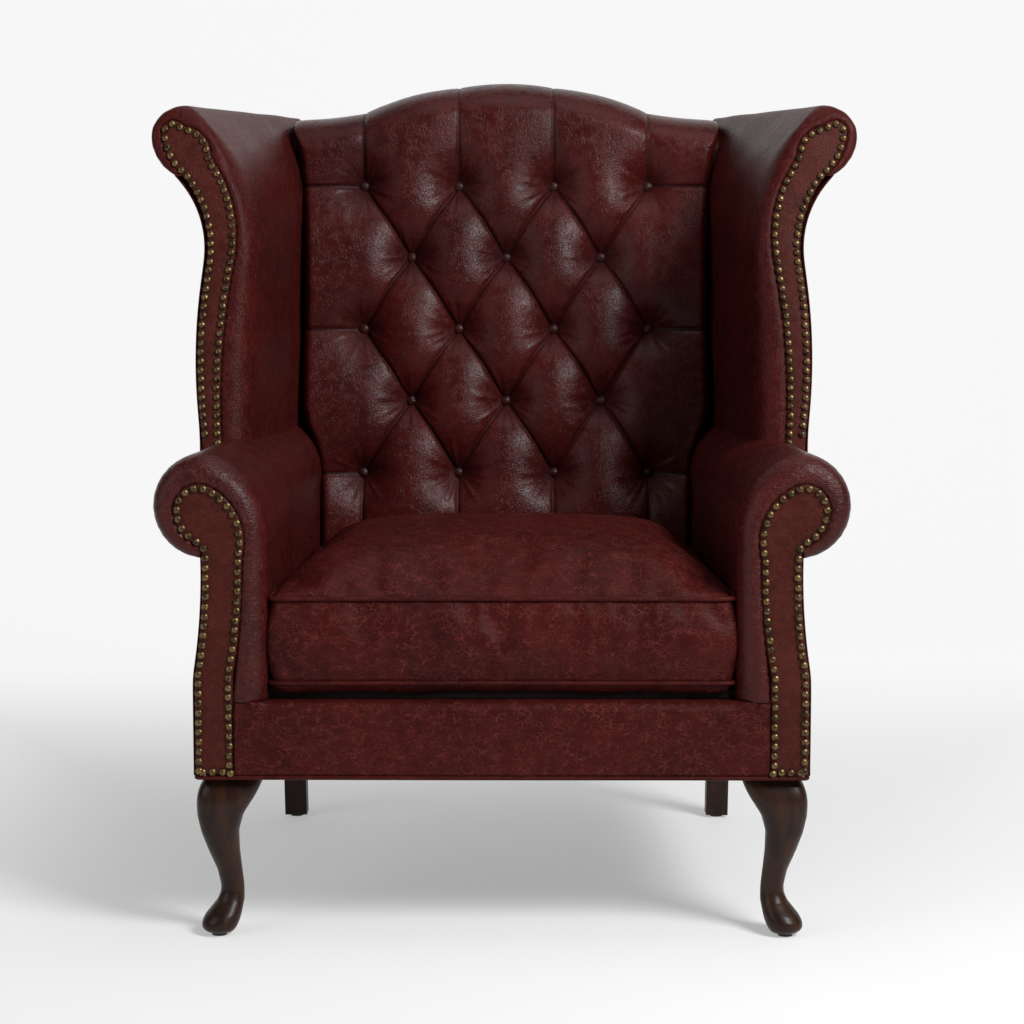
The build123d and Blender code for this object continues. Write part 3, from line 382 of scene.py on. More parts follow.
@dataclass(frozen=True)
class PolishedWood:
    """Stained and polished wood with grain along one axis."""

    name: str = "dark_mahogany"
    dark: tuple = (0.0110, 0.0037, 0.0019, 1.0)
    light: tuple = (0.036, 0.0125, 0.0055, 1.0)
    grain: tuple = (60.0, 60.0, 5.0)
    roughness: float = 0.36
    coat: float = 0.05

    def build(self) -> bpy.types.Material:
        """Makes the node material."""
        g = Graph(self.name)
        place = g.coordinates()
        long_grain = g.stretched(g.warped(place, 6.0, 0.02), self.grain)
        rings = g.noise(long_grain, 1.0, 6.0, 0.6)
        pores = g.noise(g.stretched(place, tuple(6 * v for v in self.grain)), 1.0, 2.0)
        wear = g.noise(place, 22.0, 3.0)
        base = g.blend(rings.step(0.30, 0.72), self.dark, self.light)
        base = g.blend(pores.step(0.56, 0.74) * 0.5, base, self.dark)
        rough = self.roughness + (wear - 0.5) * 0.18 + pores * 0.05
        height = rings * 0.4 - pores.step(0.55, 0.8) * 0.5
        return g.surface(base, rough, height, 0.12, 0.0006, Specular_IOR_Level=0.2, Coat_Weight=self.coat,
                         Coat_Roughness=0.18)


@dataclass(frozen=True)
class AgedMetal:
    """Metal that has darkened in its hollows."""

    name: str = "antique_brass"
    bright: tuple = (0.18, 0.118, 0.052, 1.0)
    dull: tuple = (0.035, 0.023, 0.011, 1.0)
    roughness: float = 0.30

    def build(self) -> bpy.types.Material:
        """Makes the node material."""
        g = Graph(self.name)
        place = g.coordinates()
        patina = g.noise(place, 140.0, 4.0, 0.62)
        spots = g.noise(place, 520.0, 2.0)
        base = g.blend(patina.step(0.36, 0.66), self.bright, self.dull)
        rough = self.roughness + patina * 0.22
        return g.surface(base, rough, spots + patina, 0.25, 0.0003, Metallic=0.9)


@dataclass(frozen=True)
class WovenCloth:
    """Plain weave: webbing, hessian, platform and dust cloth."""

    name: str
    light: tuple
    dark: tuple
    threads: float
    roughness: float = 0.9

    def build(self) -> bpy.types.Material:
        """Makes the node material."""
        g = Graph(self.name)
        place = g.warped(g.coordinates(), 60.0, 0.0007)
        parts = g.node("ShaderNodeSeparateXYZ", Vector=place)
        across = g.math("SINE", Wire(g, parts.outputs[0]) * self.threads)
        along = g.math("SINE", Wire(g, parts.outputs[1]) * self.threads)
        upright = g.math("SINE", Wire(g, parts.outputs[2]) * self.threads)
        weave = across * along + across * upright + along * upright
        slubs = g.noise(place, 90.0, 4.0)
        base = g.blend((weave * 0.25 + slubs).step(0.2, 0.9), self.dark, self.light)
        rough = self.roughness - slubs * 0.08
        return g.surface(base, rough, weave * 0.5 + slubs, 0.5, 0.0006)


@dataclass(frozen=True)
class MouldedPlastic:
    """Fine-grained nylon of the glides."""

    name: str = "glide_nylon"
    colour: tuple = (0.018, 0.017, 0.016, 1.0)

    def build(self) -> bpy.types.Material:
        """Makes the node material."""
        g = Graph(self.name)
        grain = g.noise(g.coordinates(), 900.0, 2.0)
        base = g.blend(grain * 0.4, self.colour, (0.05, 0.048, 0.045, 1.0))
        return g.surface(base, 0.45 + grain * 0.1, grain, 0.2, 0.0002)


class Finishes:
    """Every finish of the chair, built once."""

    def __init__(self) -> None:
        """Builds the materials."""
        self.hide = Hide().build()
        self.buttoned_hide = Hide(name="oxblood_buttoned", crease_shading=True, crackle_strength=0.38, roughness=0.265,
                                  sheen=0.155).build()
        # a darker copy of the hide for the buttons: painted shade for buttons sunk in their dimples
        self.button_hide = Hide(name="oxblood_button", crackle_strength=0.1, roughness=0.3, sheen=0.2,
                                deep=(0.016, 0.0032, 0.0028, 1.0), rich=(0.026, 0.0045, 0.0038, 1.0)).build()
        self.wing_hide = Hide(name="oxblood_wing", crease_shading=True, cell_scale=170.0, crackle_strength=0.5,
                              wrinkle=(260.0, 240.0, 75.0), wrinkle_depth=1.6).build()
        self.arm_hide = Hide(name="oxblood_arm", crease_shading=True, cell_scale=170.0, crackle_strength=0.5,
                             roughness=0.32, sheen=0.2,
                             wrinkle=(120.0, 110.0, 330.0), wrinkle_depth=1.9).build()
        self.seat_hide = Hide(name="oxblood_seat", crease_shading=True, cell_scale=160.0, stretch=(0.8, 1.1, 1.1),
                              crackle_strength=0.72, roughness=0.42, sheen=0.08,
                              wrinkle=(26.0, 130.0, 130.0), wrinkle_depth=0.9).build()
        self.facing_hide = Hide(name="oxblood_facing", cell_scale=215.0, crackle_strength=0.55,
                                deep=(0.036, 0.0078, 0.0056, 1.0), rich=(0.060, 0.0118, 0.0082, 1.0)).build()
        self.mahogany = PolishedWood().build()
        self.stained = PolishedWood(name="stained_beech", dark=(0.012, 0.0045, 0.0026, 1.0),
                                    light=(0.034, 0.0125, 0.0065, 1.0), roughness=0.42, coat=0.0).build()
        self.beech = PolishedWood(name="plain_beech", dark=(0.32, 0.19, 0.10, 1.0), light=(0.55, 0.37, 0.21, 1.0),
                                  grain=(4.0, 55.0, 55.0), roughness=0.55, coat=0.0).build()
        self.brass = AgedMetal().build()
        self.steel = AgedMetal(name="zinc_steel", bright=(0.45, 0.45, 0.46, 1.0), dull=(0.22, 0.22, 0.23, 1.0)).build()
        self.webbing = WovenCloth("jute_webbing", (0.36, 0.26, 0.15, 1.0), (0.17, 0.11, 0.06, 1.0), 2600.0).build()
        self.hessian = WovenCloth("hessian", (0.44, 0.33, 0.19, 1.0), (0.22, 0.15, 0.08, 1.0), 3300.0).build()
        self.platform = WovenCloth("platform_cloth", (0.035, 0.013, 0.014, 1.0), (0.012, 0.005, 0.006, 1.0),
                                   5200.0).build()
        self.dust = WovenCloth("dust_cloth", (0.022, 0.022, 0.022, 1.0), (0.008, 0.008, 0.008, 1.0), 4200.0).build()
        self.nylon = MouldedPlastic().build()


# ---------------------------------------------------------------- meshes


def placed(points: np.ndarray, side: Side = Side.RIGHT) -> np.ndarray:
    """Working millimetres to frame metres, mirrored for the left side.

    Args:
        points: array ending in x, y, z.
        side: which side of the chair.

    Returns:
        The same array in metres.
    """
    moved = np.array(points, dtype=float)
    moved[..., 0] *= side.value
    moved = moved / 1000.0
    moved[..., 1] += FRONT_PLANE_Y
    return moved


def mesh_object(name: str, vertices: np.ndarray, faces: Sequence[Sequence[int]], material: bpy.types.Material,
                attributes: Optional[dict[str, np.ndarray]] = None) -> bpy.types.Object:
    """Makes a mesh object at the origin.

    Args:
        name: object name.
        vertices: points in metres.
        faces: corner indices.
        material: its finish.
        attributes: float values per point.

    Returns:
        The linked object.
    """
    mesh = bpy.data.meshes.new(name)
    mesh.from_pydata([tuple(v) for v in vertices.reshape(-1, 3)], [], [tuple(int(i) for i in f) for f in faces])
    for key, values in (attributes or {}).items():
        layer = mesh.attributes.new(key, "FLOAT", "POINT")
        layer.data.foreach_set("value", np.asarray(values, dtype=np.float32).ravel())
    mesh.materials.append(material)
    mesh.shade_smooth()
    mesh.update()
    made = bpy.data.objects.new(name, mesh)
    bpy.context.scene.collection.objects.link(made)
    return made


def grid_faces(rows: int, columns: int, closed: bool = False, flip: bool = False,
               rising: Optional[np.ndarray] = None) -> list[tuple[int, ...]]:
    """Faces of a grid of points, row by row.

    Args:
        rows: number of rows.
        columns: number of points in a row.
        closed: join the last column to the first.
        flip: turn the faces over.
        rising: per cell, split along the rising diagonal; no split without it.

    Returns:
        Quads, or triangles where rising is given.
    """
    faces: list[tuple[int, ...]] = []
    last = columns if closed else columns - 1
    for j in range(rows - 1):
        for i in range(last):
            a = j * columns + i
            b = j * columns + (i + 1) % columns
            c, d = b + columns, a + columns
            if rising is None:
                faces.append((a, d, c, b) if flip else (a, b, c, d))
            elif rising[j, i]:
                faces += [(a, c, b), (a, d, c)] if flip else [(a, b, c), (a, c, d)]
            else:
                faces += [(a, d, b), (b, d, c)] if flip else [(a, b, d), (b, c, d)]
    return faces


def weld(piece: bpy.types.Object) -> None:
    """Merges doubles and turns faces outwards.

    Args:
        piece: mesh object.
    """
    work = bmesh.new()
    work.from_mesh(piece.data)
    bmesh.ops.remove_doubles(work, verts=work.verts, dist=WELD)
    bmesh.ops.recalc_face_normals(work, faces=work.faces)
    work.to_mesh(piece.data)
    work.free()
    piece.data.update()


def arc_points(a: Sequence[float], m: Sequence[float], b: Sequence[float], count: int) -> np.ndarray:
    """Points of the arc through three points of a plane.

    Args:
        a: start.
        m: point on the way.
        b: end.
        count: number of points, both ends included.

    Returns:
        Array of points.
    """
    (ax, az), (mx, mz), (bx, bz) = a, m, b
    d = 2 * (ax * (mz - bz) + mx * (bz - az) + bx * (az - mz))
    if abs(d) < ARC_EPSILON:
        share = np.linspace(0, 1, count)[:, None]
        return np.array(a) * (1 - share) + np.array(b) * share
    sa, sm, sb = ax * ax + az * az, mx * mx + mz * mz, bx * bx + bz * bz
    cx = (sa * (mz - bz) + sm * (bz - az) + sb * (az - mz)) / d
    cz = (sa * (bx - mx) + sm * (ax - bx) + sb * (mx - ax)) / d
    radius = math.hypot(ax - cx, az - cz)
    start, way, end = (math.atan2(z - cz, x - cx) for x, z in (a, m, b))
    turn = (end - start) % (2 * math.pi)
    if (way - start) % (2 * math.pi) > turn:
        turn -= 2 * math.pi
    angles = start + np.linspace(0, 1, count) * turn
    return np.stack([cx + radius * np.cos(angles), cz + radius * np.sin(angles)], axis=1)


def path_normals(points: np.ndarray) -> np.ndarray:
    """Unit normals to the left of a path of plane points.

    Args:
        points: the path.

    Returns:
        One normal for each point.
    """
    tangent = np.gradient(points, axis=0)
    tangent /= np.linalg.norm(tangent, axis=1, keepdims=True) + 1e-9
    return np.stack([-tangent[:, 1], tangent[:, 0]], axis=1)


def lengths_along(points: np.ndarray) -> np.ndarray:
    """Length of a path up to each of its points."""
    return np.concatenate([[0.0], np.cumsum(np.linalg.norm(np.diff(points, axis=0), axis=1))])


def resampled(points: np.ndarray, count: int) -> np.ndarray:
    """The same path with points evenly along its length.

    Args:
        points: the path.
        count: number of points.

    Returns:
        Array of points.
    """
    lengths = lengths_along(points)
    wanted = np.linspace(0, lengths[-1], count)
    return np.stack([np.interp(wanted, lengths, points[:, k]) for k in range(points.shape[1])], axis=1)


def ripple(values: np.ndarray, seed: int, waves: int = 5, lowest: float = 1.0, highest: float = 6.0) -> np.ndarray:
    """Smooth seeded waviness of about unit size.

    Args:
        values: phase coordinates, one unit a wave of the lowest.
        seed: choice of the waves.
        waves: how many are summed.
        lowest: lowest frequency.
        highest: highest frequency.

    Returns:
        Array like values.
    """
    chance = np.random.default_rng(SEED * 100 + seed)
    total = np.zeros_like(np.asarray(values, dtype=float))
    for _ in range(waves):
        size, speed, phase = chance.uniform(0.4, 1.0), chance.uniform(lowest, highest), chance.random()
        total += size * np.sin(2 * np.pi * (speed * values + phase))
    return total / waves * 1.6


def tube(name: str, path: np.ndarray, radius: float, material: bpy.types.Material, closed: bool = False,
         segments: int = 10, lumps: float = 0.0) -> bpy.types.Object:
    """Round tube along a path, with capped ends.

    Args:
        name: object name.
        path: centre points in metres.
        radius: tube radius in metres.
        material: its finish.
        closed: join the end to the start.
        segments: sides of the tube.
        lumps: share of uneven thickness.

    Returns:
        The tube.
    """
    tangent = (np.roll(path, -1, axis=0) - np.roll(path, 1, axis=0)) if closed else np.gradient(path, axis=0)
    tangent /= np.linalg.norm(tangent, axis=1, keepdims=True)
    up = np.tile([0.0, 0.0, 1.0], (len(path), 1))
    steep = np.abs(tangent[:, 2]) > 0.9
    up[steep] = [0.0, 1.0, 0.0]
    first = np.cross(tangent, up)
    first /= np.linalg.norm(first, axis=1, keepdims=True)
    for i in range(1, len(first)):
        first[i] -= tangent[i] * np.dot(first[i], tangent[i])
        if np.dot(first[i], first[i - 1]) < 0:
            first[i] *= -1
        first[i] /= np.linalg.norm(first[i])
    second = np.cross(tangent, first)
    angle = np.linspace(0, 2 * np.pi, segments, endpoint=False)
    size = radius * (1 + lumps * ripple(np.linspace(0, 1, len(path)), 77, 6, 4, 30))
    ring = (path[:, None, :] + size[:, None, None] * (np.cos(angle)[None, :, None] * first[:, None, :]
                                                    + np.sin(angle)[None, :, None] * second[:, None, :]))
    count = len(path)
    vertices = ring.reshape(-1, 3)
    faces = grid_faces(count, segments, closed=True)
    if closed:
        base = (count - 1) * segments
        faces += [(base + i, base + (i + 1) % segments, (i + 1) % segments, i) for i in range(segments)]
    else:
        faces.append(tuple(range(segments)))
        faces.append(tuple((count - 1) * segments + i for i in reversed(range(segments))))
    made = mesh_object(name, vertices, faces, material)
    weld(made)
    return made


# ---------------------------------------------------------------- flared forms


def piece_points(points: np.ndarray, arcs: Sequence[bool], counts: Sequence[int]) -> np.ndarray:
    """Path through points, each line or arc with its own number of steps.

    Args:
        points: ends of the lines and arcs, and the middles of the arcs.
        arcs: for each point, whether it is the middle of an arc.
        counts: steps of each line or arc.

    Returns:
        Array of points.
    """
    runs, start, middle = [], points[0], None
    for point, arc in zip(points[1:], arcs[1:]):
        if arc:
            middle = point
            continue
        way = (start + point) / 2 if middle is None else middle
        runs.append(arc_points(start, way, point, counts[len(runs)] + 1)[1:])
        start, middle = point, None
    return np.vstack([points[:1]] + runs)


def facing_curve(points: np.ndarray, counts: Sequence[int]) -> np.ndarray:
    """Path of arcs, every second point the middle of one."""
    return piece_points(points, [index % 2 == 1 for index in range(len(points))], counts)


def softened(path: np.ndarray, passes: int) -> np.ndarray:
    """The path with its corners eased, ends kept.

    Args:
        path: its points.
        passes: how often it is eased.

    Returns:
        Array of points.
    """
    eased = path.copy()
    for _ in range(passes):
        eased[1:-1] = (eased[:-2] + 2 * eased[1:-1] + eased[2:]) / 4
    return eased


def thickened(piece: bpy.types.Object, thickness: float) -> bpy.types.Object:
    """Gives a cover its leather thickness, inwards, as a closed mesh.

    Args:
        piece: open surface with outward normals.
        thickness: in metres.

    Returns:
        The same object with a new mesh.
    """
    wall = piece.modifiers.new("leather", "SOLIDIFY")
    wall.thickness = thickness
    wall.offset = -1.0
    return settled(piece)


def settled(piece: bpy.types.Object) -> bpy.types.Object:
    """Applies the modifiers of a piece to its mesh.

    Args:
        piece: object with modifiers.

    Returns:
        The same object with a new mesh.
    """
    graph = bpy.context.evaluated_depsgraph_get()
    made = bpy.data.meshes.new_from_object(piece.evaluated_get(graph), depsgraph=graph)
    piece.modifiers.clear()
    old = piece.data
    piece.data = made
    made.name = piece.name
    bpy.data.meshes.remove(old)
    return piece


def shown(piece: bpy.types.Object, body: str, slot: str, *nodes: str) -> None:
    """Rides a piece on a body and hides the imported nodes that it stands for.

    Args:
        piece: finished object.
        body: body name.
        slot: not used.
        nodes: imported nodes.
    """
    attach(piece, body)
    if nodes:
        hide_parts(*nodes)
    log.info("%s: %d faces", piece.name, len(piece.data.polygons))


def lattice(name: str, points: np.ndarray, finish: bpy.types.Material, crease_shade: Optional[np.ndarray] = None,
            pull: Optional[np.ndarray] = None, side: Side = Side.RIGHT, flip: bool = False,
            rising: Optional[np.ndarray] = None) -> bpy.types.Object:
    """Mesh over a lattice of working points.

    Args:
        name: object name.
        points: rows of points in millimetres.
        finish: its material.
        crease_shade: painted shade of the creases at each point.
        pull: value of the small folds round the buttons, none without it.
        side: which side of the chair.
        flip: turn the faces over.
        rising: per cell, split along the rising diagonal.

    Returns:
        The open surface.
    """
    values = None if crease_shade is None else {"crease_shade": crease_shade, "pull": crease_shade * 0 if pull is None else pull}
    faces = grid_faces(*points.shape[:2], flip=flip, rising=rising)
    return mesh_object(name, placed(points, side), faces, finish, values)


def side_cover(side: Side, word: str, points: np.ndarray, crease_shade: np.ndarray, finish: bpy.types.Material) -> None:
    """Padded cover of an arm or a wing, in the place of its cover and stuffing.

    Args:
        side: which side of the chair.
        word: arm or wing.
        points: rows of points in millimetres.
        crease_shade: painted shade of the creases at each point.
        finish: leather.
    """
    made = lattice(f"{side.word}_{word}_hide", points, finish, crease_shade, side=side, flip=side is Side.RIGHT)
    thickened(made, LEATHER)
    shown(made, "chair", "leather", f"{side.word}_{word}_cover", f"{side.word}_{word}_pad")


def side_panel(side: Side, word: str, points: np.ndarray, finish: bpy.types.Material) -> None:
    """Plain outside panel of an arm or a wing.

    Args:
        side: which side of the chair.
        word: arm or wing.
        points: rows of points in millimetres.
        finish: leather.
    """
    made = lattice(f"{side.word}_outside_{word}_hide", points, finish, side=side, flip=side is Side.RIGHT)
    thickened(made, LEATHER)
    shown(made, "chair", "leather", f"{side.word}_outside_{word}")


def padded_rim(gap: np.ndarray, depth: np.ndarray) -> Iterable[tuple[np.ndarray, np.ndarray, float]]:
    """Profile of a stuffed rim, from the nailed edge out to the side it turns into.

    Args:
        gap: width of the rim at each point.
        depth: how far its rounding runs back.

    Yields:
        Share of the width, distance back, and how much small creases show.
    """
    level = 0.2
    yield np.full(len(gap), -0.03), np.full(len(gap), 3.2), 0.0
    for share in (0.04, 0.1, 0.16):
        yield np.full(len(gap), share), np.full(len(gap), 2.6 * (1 - share / level) ** 2), 0.5
    for angle in np.radians([2, 12, 22, 31, 40, 48, 56, 64, 72, 79, 85, 90]):
        across = level + (1 - level) * math.sin(angle) ** 0.92
        back = (1 - math.cos(angle) ** 0.92)
        yield np.full(len(gap), min(across, 1.0)), depth * back, 0.5 + 0.5 * math.sin(2 * angle)


def rim_rows(edge: np.ndarray, gap: np.ndarray, depth: np.ndarray, ruche: np.ndarray,
             section_at: Callable[[np.ndarray], np.ndarray],
             stand: Callable[[np.ndarray, np.ndarray], np.ndarray]) -> tuple[list, list]:
    """Rows of a stuffed rim and the painted shade of their creases.

    Args:
        edge: nailed edge (x, z).
        gap: width of the rim at each point.
        depth: how far its rounding runs back.
        ruche: size of the small gathers.
        section_at: section of the form at distances behind the edge.
        stand: section points and their distances back to x, y, z.

    Returns:
        Rows of points and rows of crease values.
    """
    rows, crease_shade = [], []
    for across, back, gather in padded_rim(gap, depth):
        way, here, push = across[:, None], section_at(back), ruche * gather
        flat = edge * (1 - way) + here * way + path_normals(here) * (push * across)[:, None]
        rows.append(stand(flat, back - push * 0.8))
        # painted shade: darkest along the nailed edge, and in the small gathers
        crease_shade.append(np.clip(0.85 * (1 - across / 0.05), 0, 0.85) + np.clip(-push, 0, 1) * 0.35)
    return rows, crease_shade


@dataclass
class ScrollArm:
    """One arm: cover with a rounded front edge, facing framed by nails, outside panel."""

    side: Side
    run: float = 690.0
    front: float = 2.0
    rim_depth: float = 31.0
    foot: float = 294.2
    base: float = 204.2
    roll: tuple = (359.0, 531.0)
    radius: float = 62.0
    rear_roll: tuple = (312.0, 593.0)
    rear_outer: float = 342.0
    inner: tuple = (286.0, 262.0)
    flank: tuple = (372.0, 338.0)
    stations: int = 84
    ruche: float = 0.55
    facing: tuple = ((-0.565, -3.3), (-0.716, -2.265), (-0.774, -1.0), (-0.532, 0.112), (-0.032, 0.452), (0.415, 0.302),
                     (0.565, -0.1), (0.425, -0.5), (0.03, -0.8), (0.02, -1.7), (0.185, -3.3))
    over_rows: list = field(default_factory=list)
    flank_rows: list = field(default_factory=list)

    def __post_init__(self) -> None:
        """Works the section's rows out from the sizes."""
        (front_x, front_z), (rear_x, rear_z), size = self.roll, self.rear_roll, self.radius
        inner, inner_rear = (self.inner[0] - front_x) / size, (self.inner[1] - rear_x) / size
        flank, flank_rear = (self.flank[0] - front_x) / size, (self.flank[1] - rear_x) / size
        rear = (self.rear_outer - rear_x) / size
        low, low_rear = (self.foot - front_z) / size, (self.foot - rear_z) / size
        floor, floor_rear = (self.base - front_z) / size, (self.base - rear_z) / size
        self.over_rows = [
            (False, inner, low, inner_rear, low_rear), (False, inner, -0.82, inner_rear, -1.26),
            (True, -0.903, 0.355, -0.6, -0.37), (False, 0.0, 1.0, 0.0, 0.0),
            (True, 0.707, 0.707, 0.7 * rear, -0.12), (False, 1.0, 0.0, rear, -0.44),
            (True, 0.707, -0.707, 0.98 * rear, -0.73), (False, 0.03, -1.0, 0.95 * flank_rear, -1.0)]
        self.flank_rows = [
            self.over_rows[-1], (True, flank - 0.17, -1.8, 0.93 * flank_rear, -2.0),
            (False, flank, -3.34, flank_rear, -3.6), (False, flank, floor, flank_rear, floor_rear)]

    def section(self, rows: list, y: float, counts: Sequence[int]) -> np.ndarray:
        """Section path at a depth.

        Args:
            rows: over or flank rows.
            y: distance behind the front plane.
            counts: steps of each run.

        Returns:
            Points (x, z).
        """
        share = y / self.run
        points = np.array([(mix(self.roll[0] + fx * self.radius, self.rear_roll[0] + rx * self.radius, share),
                            mix(self.roll[1] + fz * self.radius, self.rear_roll[1] + rz * self.radius, share))
                           for _, fx, fz, rx, rz in rows])
        return softened(piece_points(points, [row[0] for row in rows], counts), 8)

    def facing_points(self, shares: Sequence[tuple[float, float]]) -> np.ndarray:
        """Facing shares, in roll radii from the middle of the roll, to (x, z)."""
        return np.array(self.roll) + np.array(shares) * self.radius

    def cover(self, finish: bpy.types.Material) -> None:
        """Padded cover over the inside, the roll and the rounded front edge, from the facing to the rear.

        Args:
            finish: leather.
        """
        counts = [44, 34, 24, 22]
        front = self.section(self.over_rows, self.front, counts)
        foot = (self.facing[0][0], (self.foot - self.roll[1]) / self.radius)
        edge = softened(facing_curve(self.facing_points([foot, *self.facing[1:9]]), counts), 3)
        columns = len(front)
        along = np.linspace(0, 1, columns)
        length = lengths_along(front)
        gap = np.linalg.norm(front - edge, axis=1)
        depth = np.clip(gap * 0.9, 5.0, self.rim_depth)
        on_roll = smooth_share((along - 0.30) / 0.2)
        ruche = self.ruche * (0.12 + on_roll) * ripple(length / 90.0, 3, 7, 3.0, 9.0)
        rows, crease_shade = rim_rows(edge, gap, depth, ruche,
                                lambda back: self.interpolated((self.front + back) / self.run, counts),
                                lambda flat, back: np.column_stack([flat[:, 0], self.front + back, flat[:, 1]]))
        for step in range(1, self.stations + 1):
            share = step / self.stations
            start = self.front + depth
            here = self.interpolated(start / self.run, counts)
            y = start
            for _ in range(3):
                deep = frame_y(here[:, 1]) + COVER_REAR
                shallow = frame_y(here[:, 1]) - 4.0
                end = shallow + (deep - shallow) * smooth_share((here[:, 0] - 288.0) / 16.0)
                y = start + share ** 1.1 * (end - start)
                here = self.interpolated(y / self.run, counts)
            fade = math.exp(-step / 6.0)
            sag = 0.9 * ripple(length / 260.0 + share * 1.7, 5, 4, 0.6, 2.2) * smooth_share(share * 5)
            sag = sag + 0.6 * ripple(share * 2.3 + length / 900.0, 8, 4, 1.0, 3.0) * smooth_share(share * 8)
            moved = here + path_normals(here) * (sag * 0.6 + ruche * 0.5 * fade)[:, None]
            rows.append(np.column_stack([moved[:, 0], y, moved[:, 1]]))
            # painted shade in the small gathers behind the front edge, fading further back
            crease_shade.append(np.clip(-ruche, 0, 1) * 0.2 * fade)
        side_cover(self.side, "arm", np.stack(rows), np.stack(crease_shade), finish)

    def interpolated(self, share: np.ndarray, counts: Sequence[int]) -> np.ndarray:
        """Over section whose every point has its own depth share.

        Args:
            share: depth share of each point.
            counts: steps of each run.

        Returns:
            Points (x, z).
        """
        near = self.section(self.over_rows, 0.0, counts)
        far = self.section(self.over_rows, self.run, counts)
        middle = self.section(self.over_rows, self.run / 2, counts)
        t = share[:, None]
        return near * (2 * (t - 0.5) * (t - 1)) + middle * (-4 * t * (t - 1)) + far * (2 * t * (t - 0.5))

    def outside(self, finish: bpy.types.Material) -> None:
        """Plain panel below the roll, from the facing to the outside back.

        Args:
            finish: leather.
        """
        counts = [46, 18]
        near = self.section(self.flank_rows, 0.0, counts)
        far = self.section(self.flank_rows, self.run, counts)
        rows = []
        for step in range(61):
            share = step / 60
            here = self.section(self.flank_rows, 5.0, counts)
            for _ in range(3):
                end = frame_y(np.maximum(here[:, 1], HIP_Z)) + COVER_REAR
                y = 5.0 + share * (end - 5.0)
                here = near + (far - near) * (y / self.run)[:, None]
            rows.append(np.column_stack([here[:, 0] - 0.4, y, here[:, 1]]))
        side_panel(self.side, "arm", np.stack(rows), finish)

    def facing_outline(self) -> np.ndarray:
        """Closed outline of the facing, up the inner side, over the scroll and down the outer side."""
        path = softened(facing_curve(self.facing_points(self.facing), [36, 30, 20, 16, 46]), 2)
        low = [(path[0][0], self.base), (path[-1][0], self.base)]
        return np.vstack([low[:1], path, low[1:]])


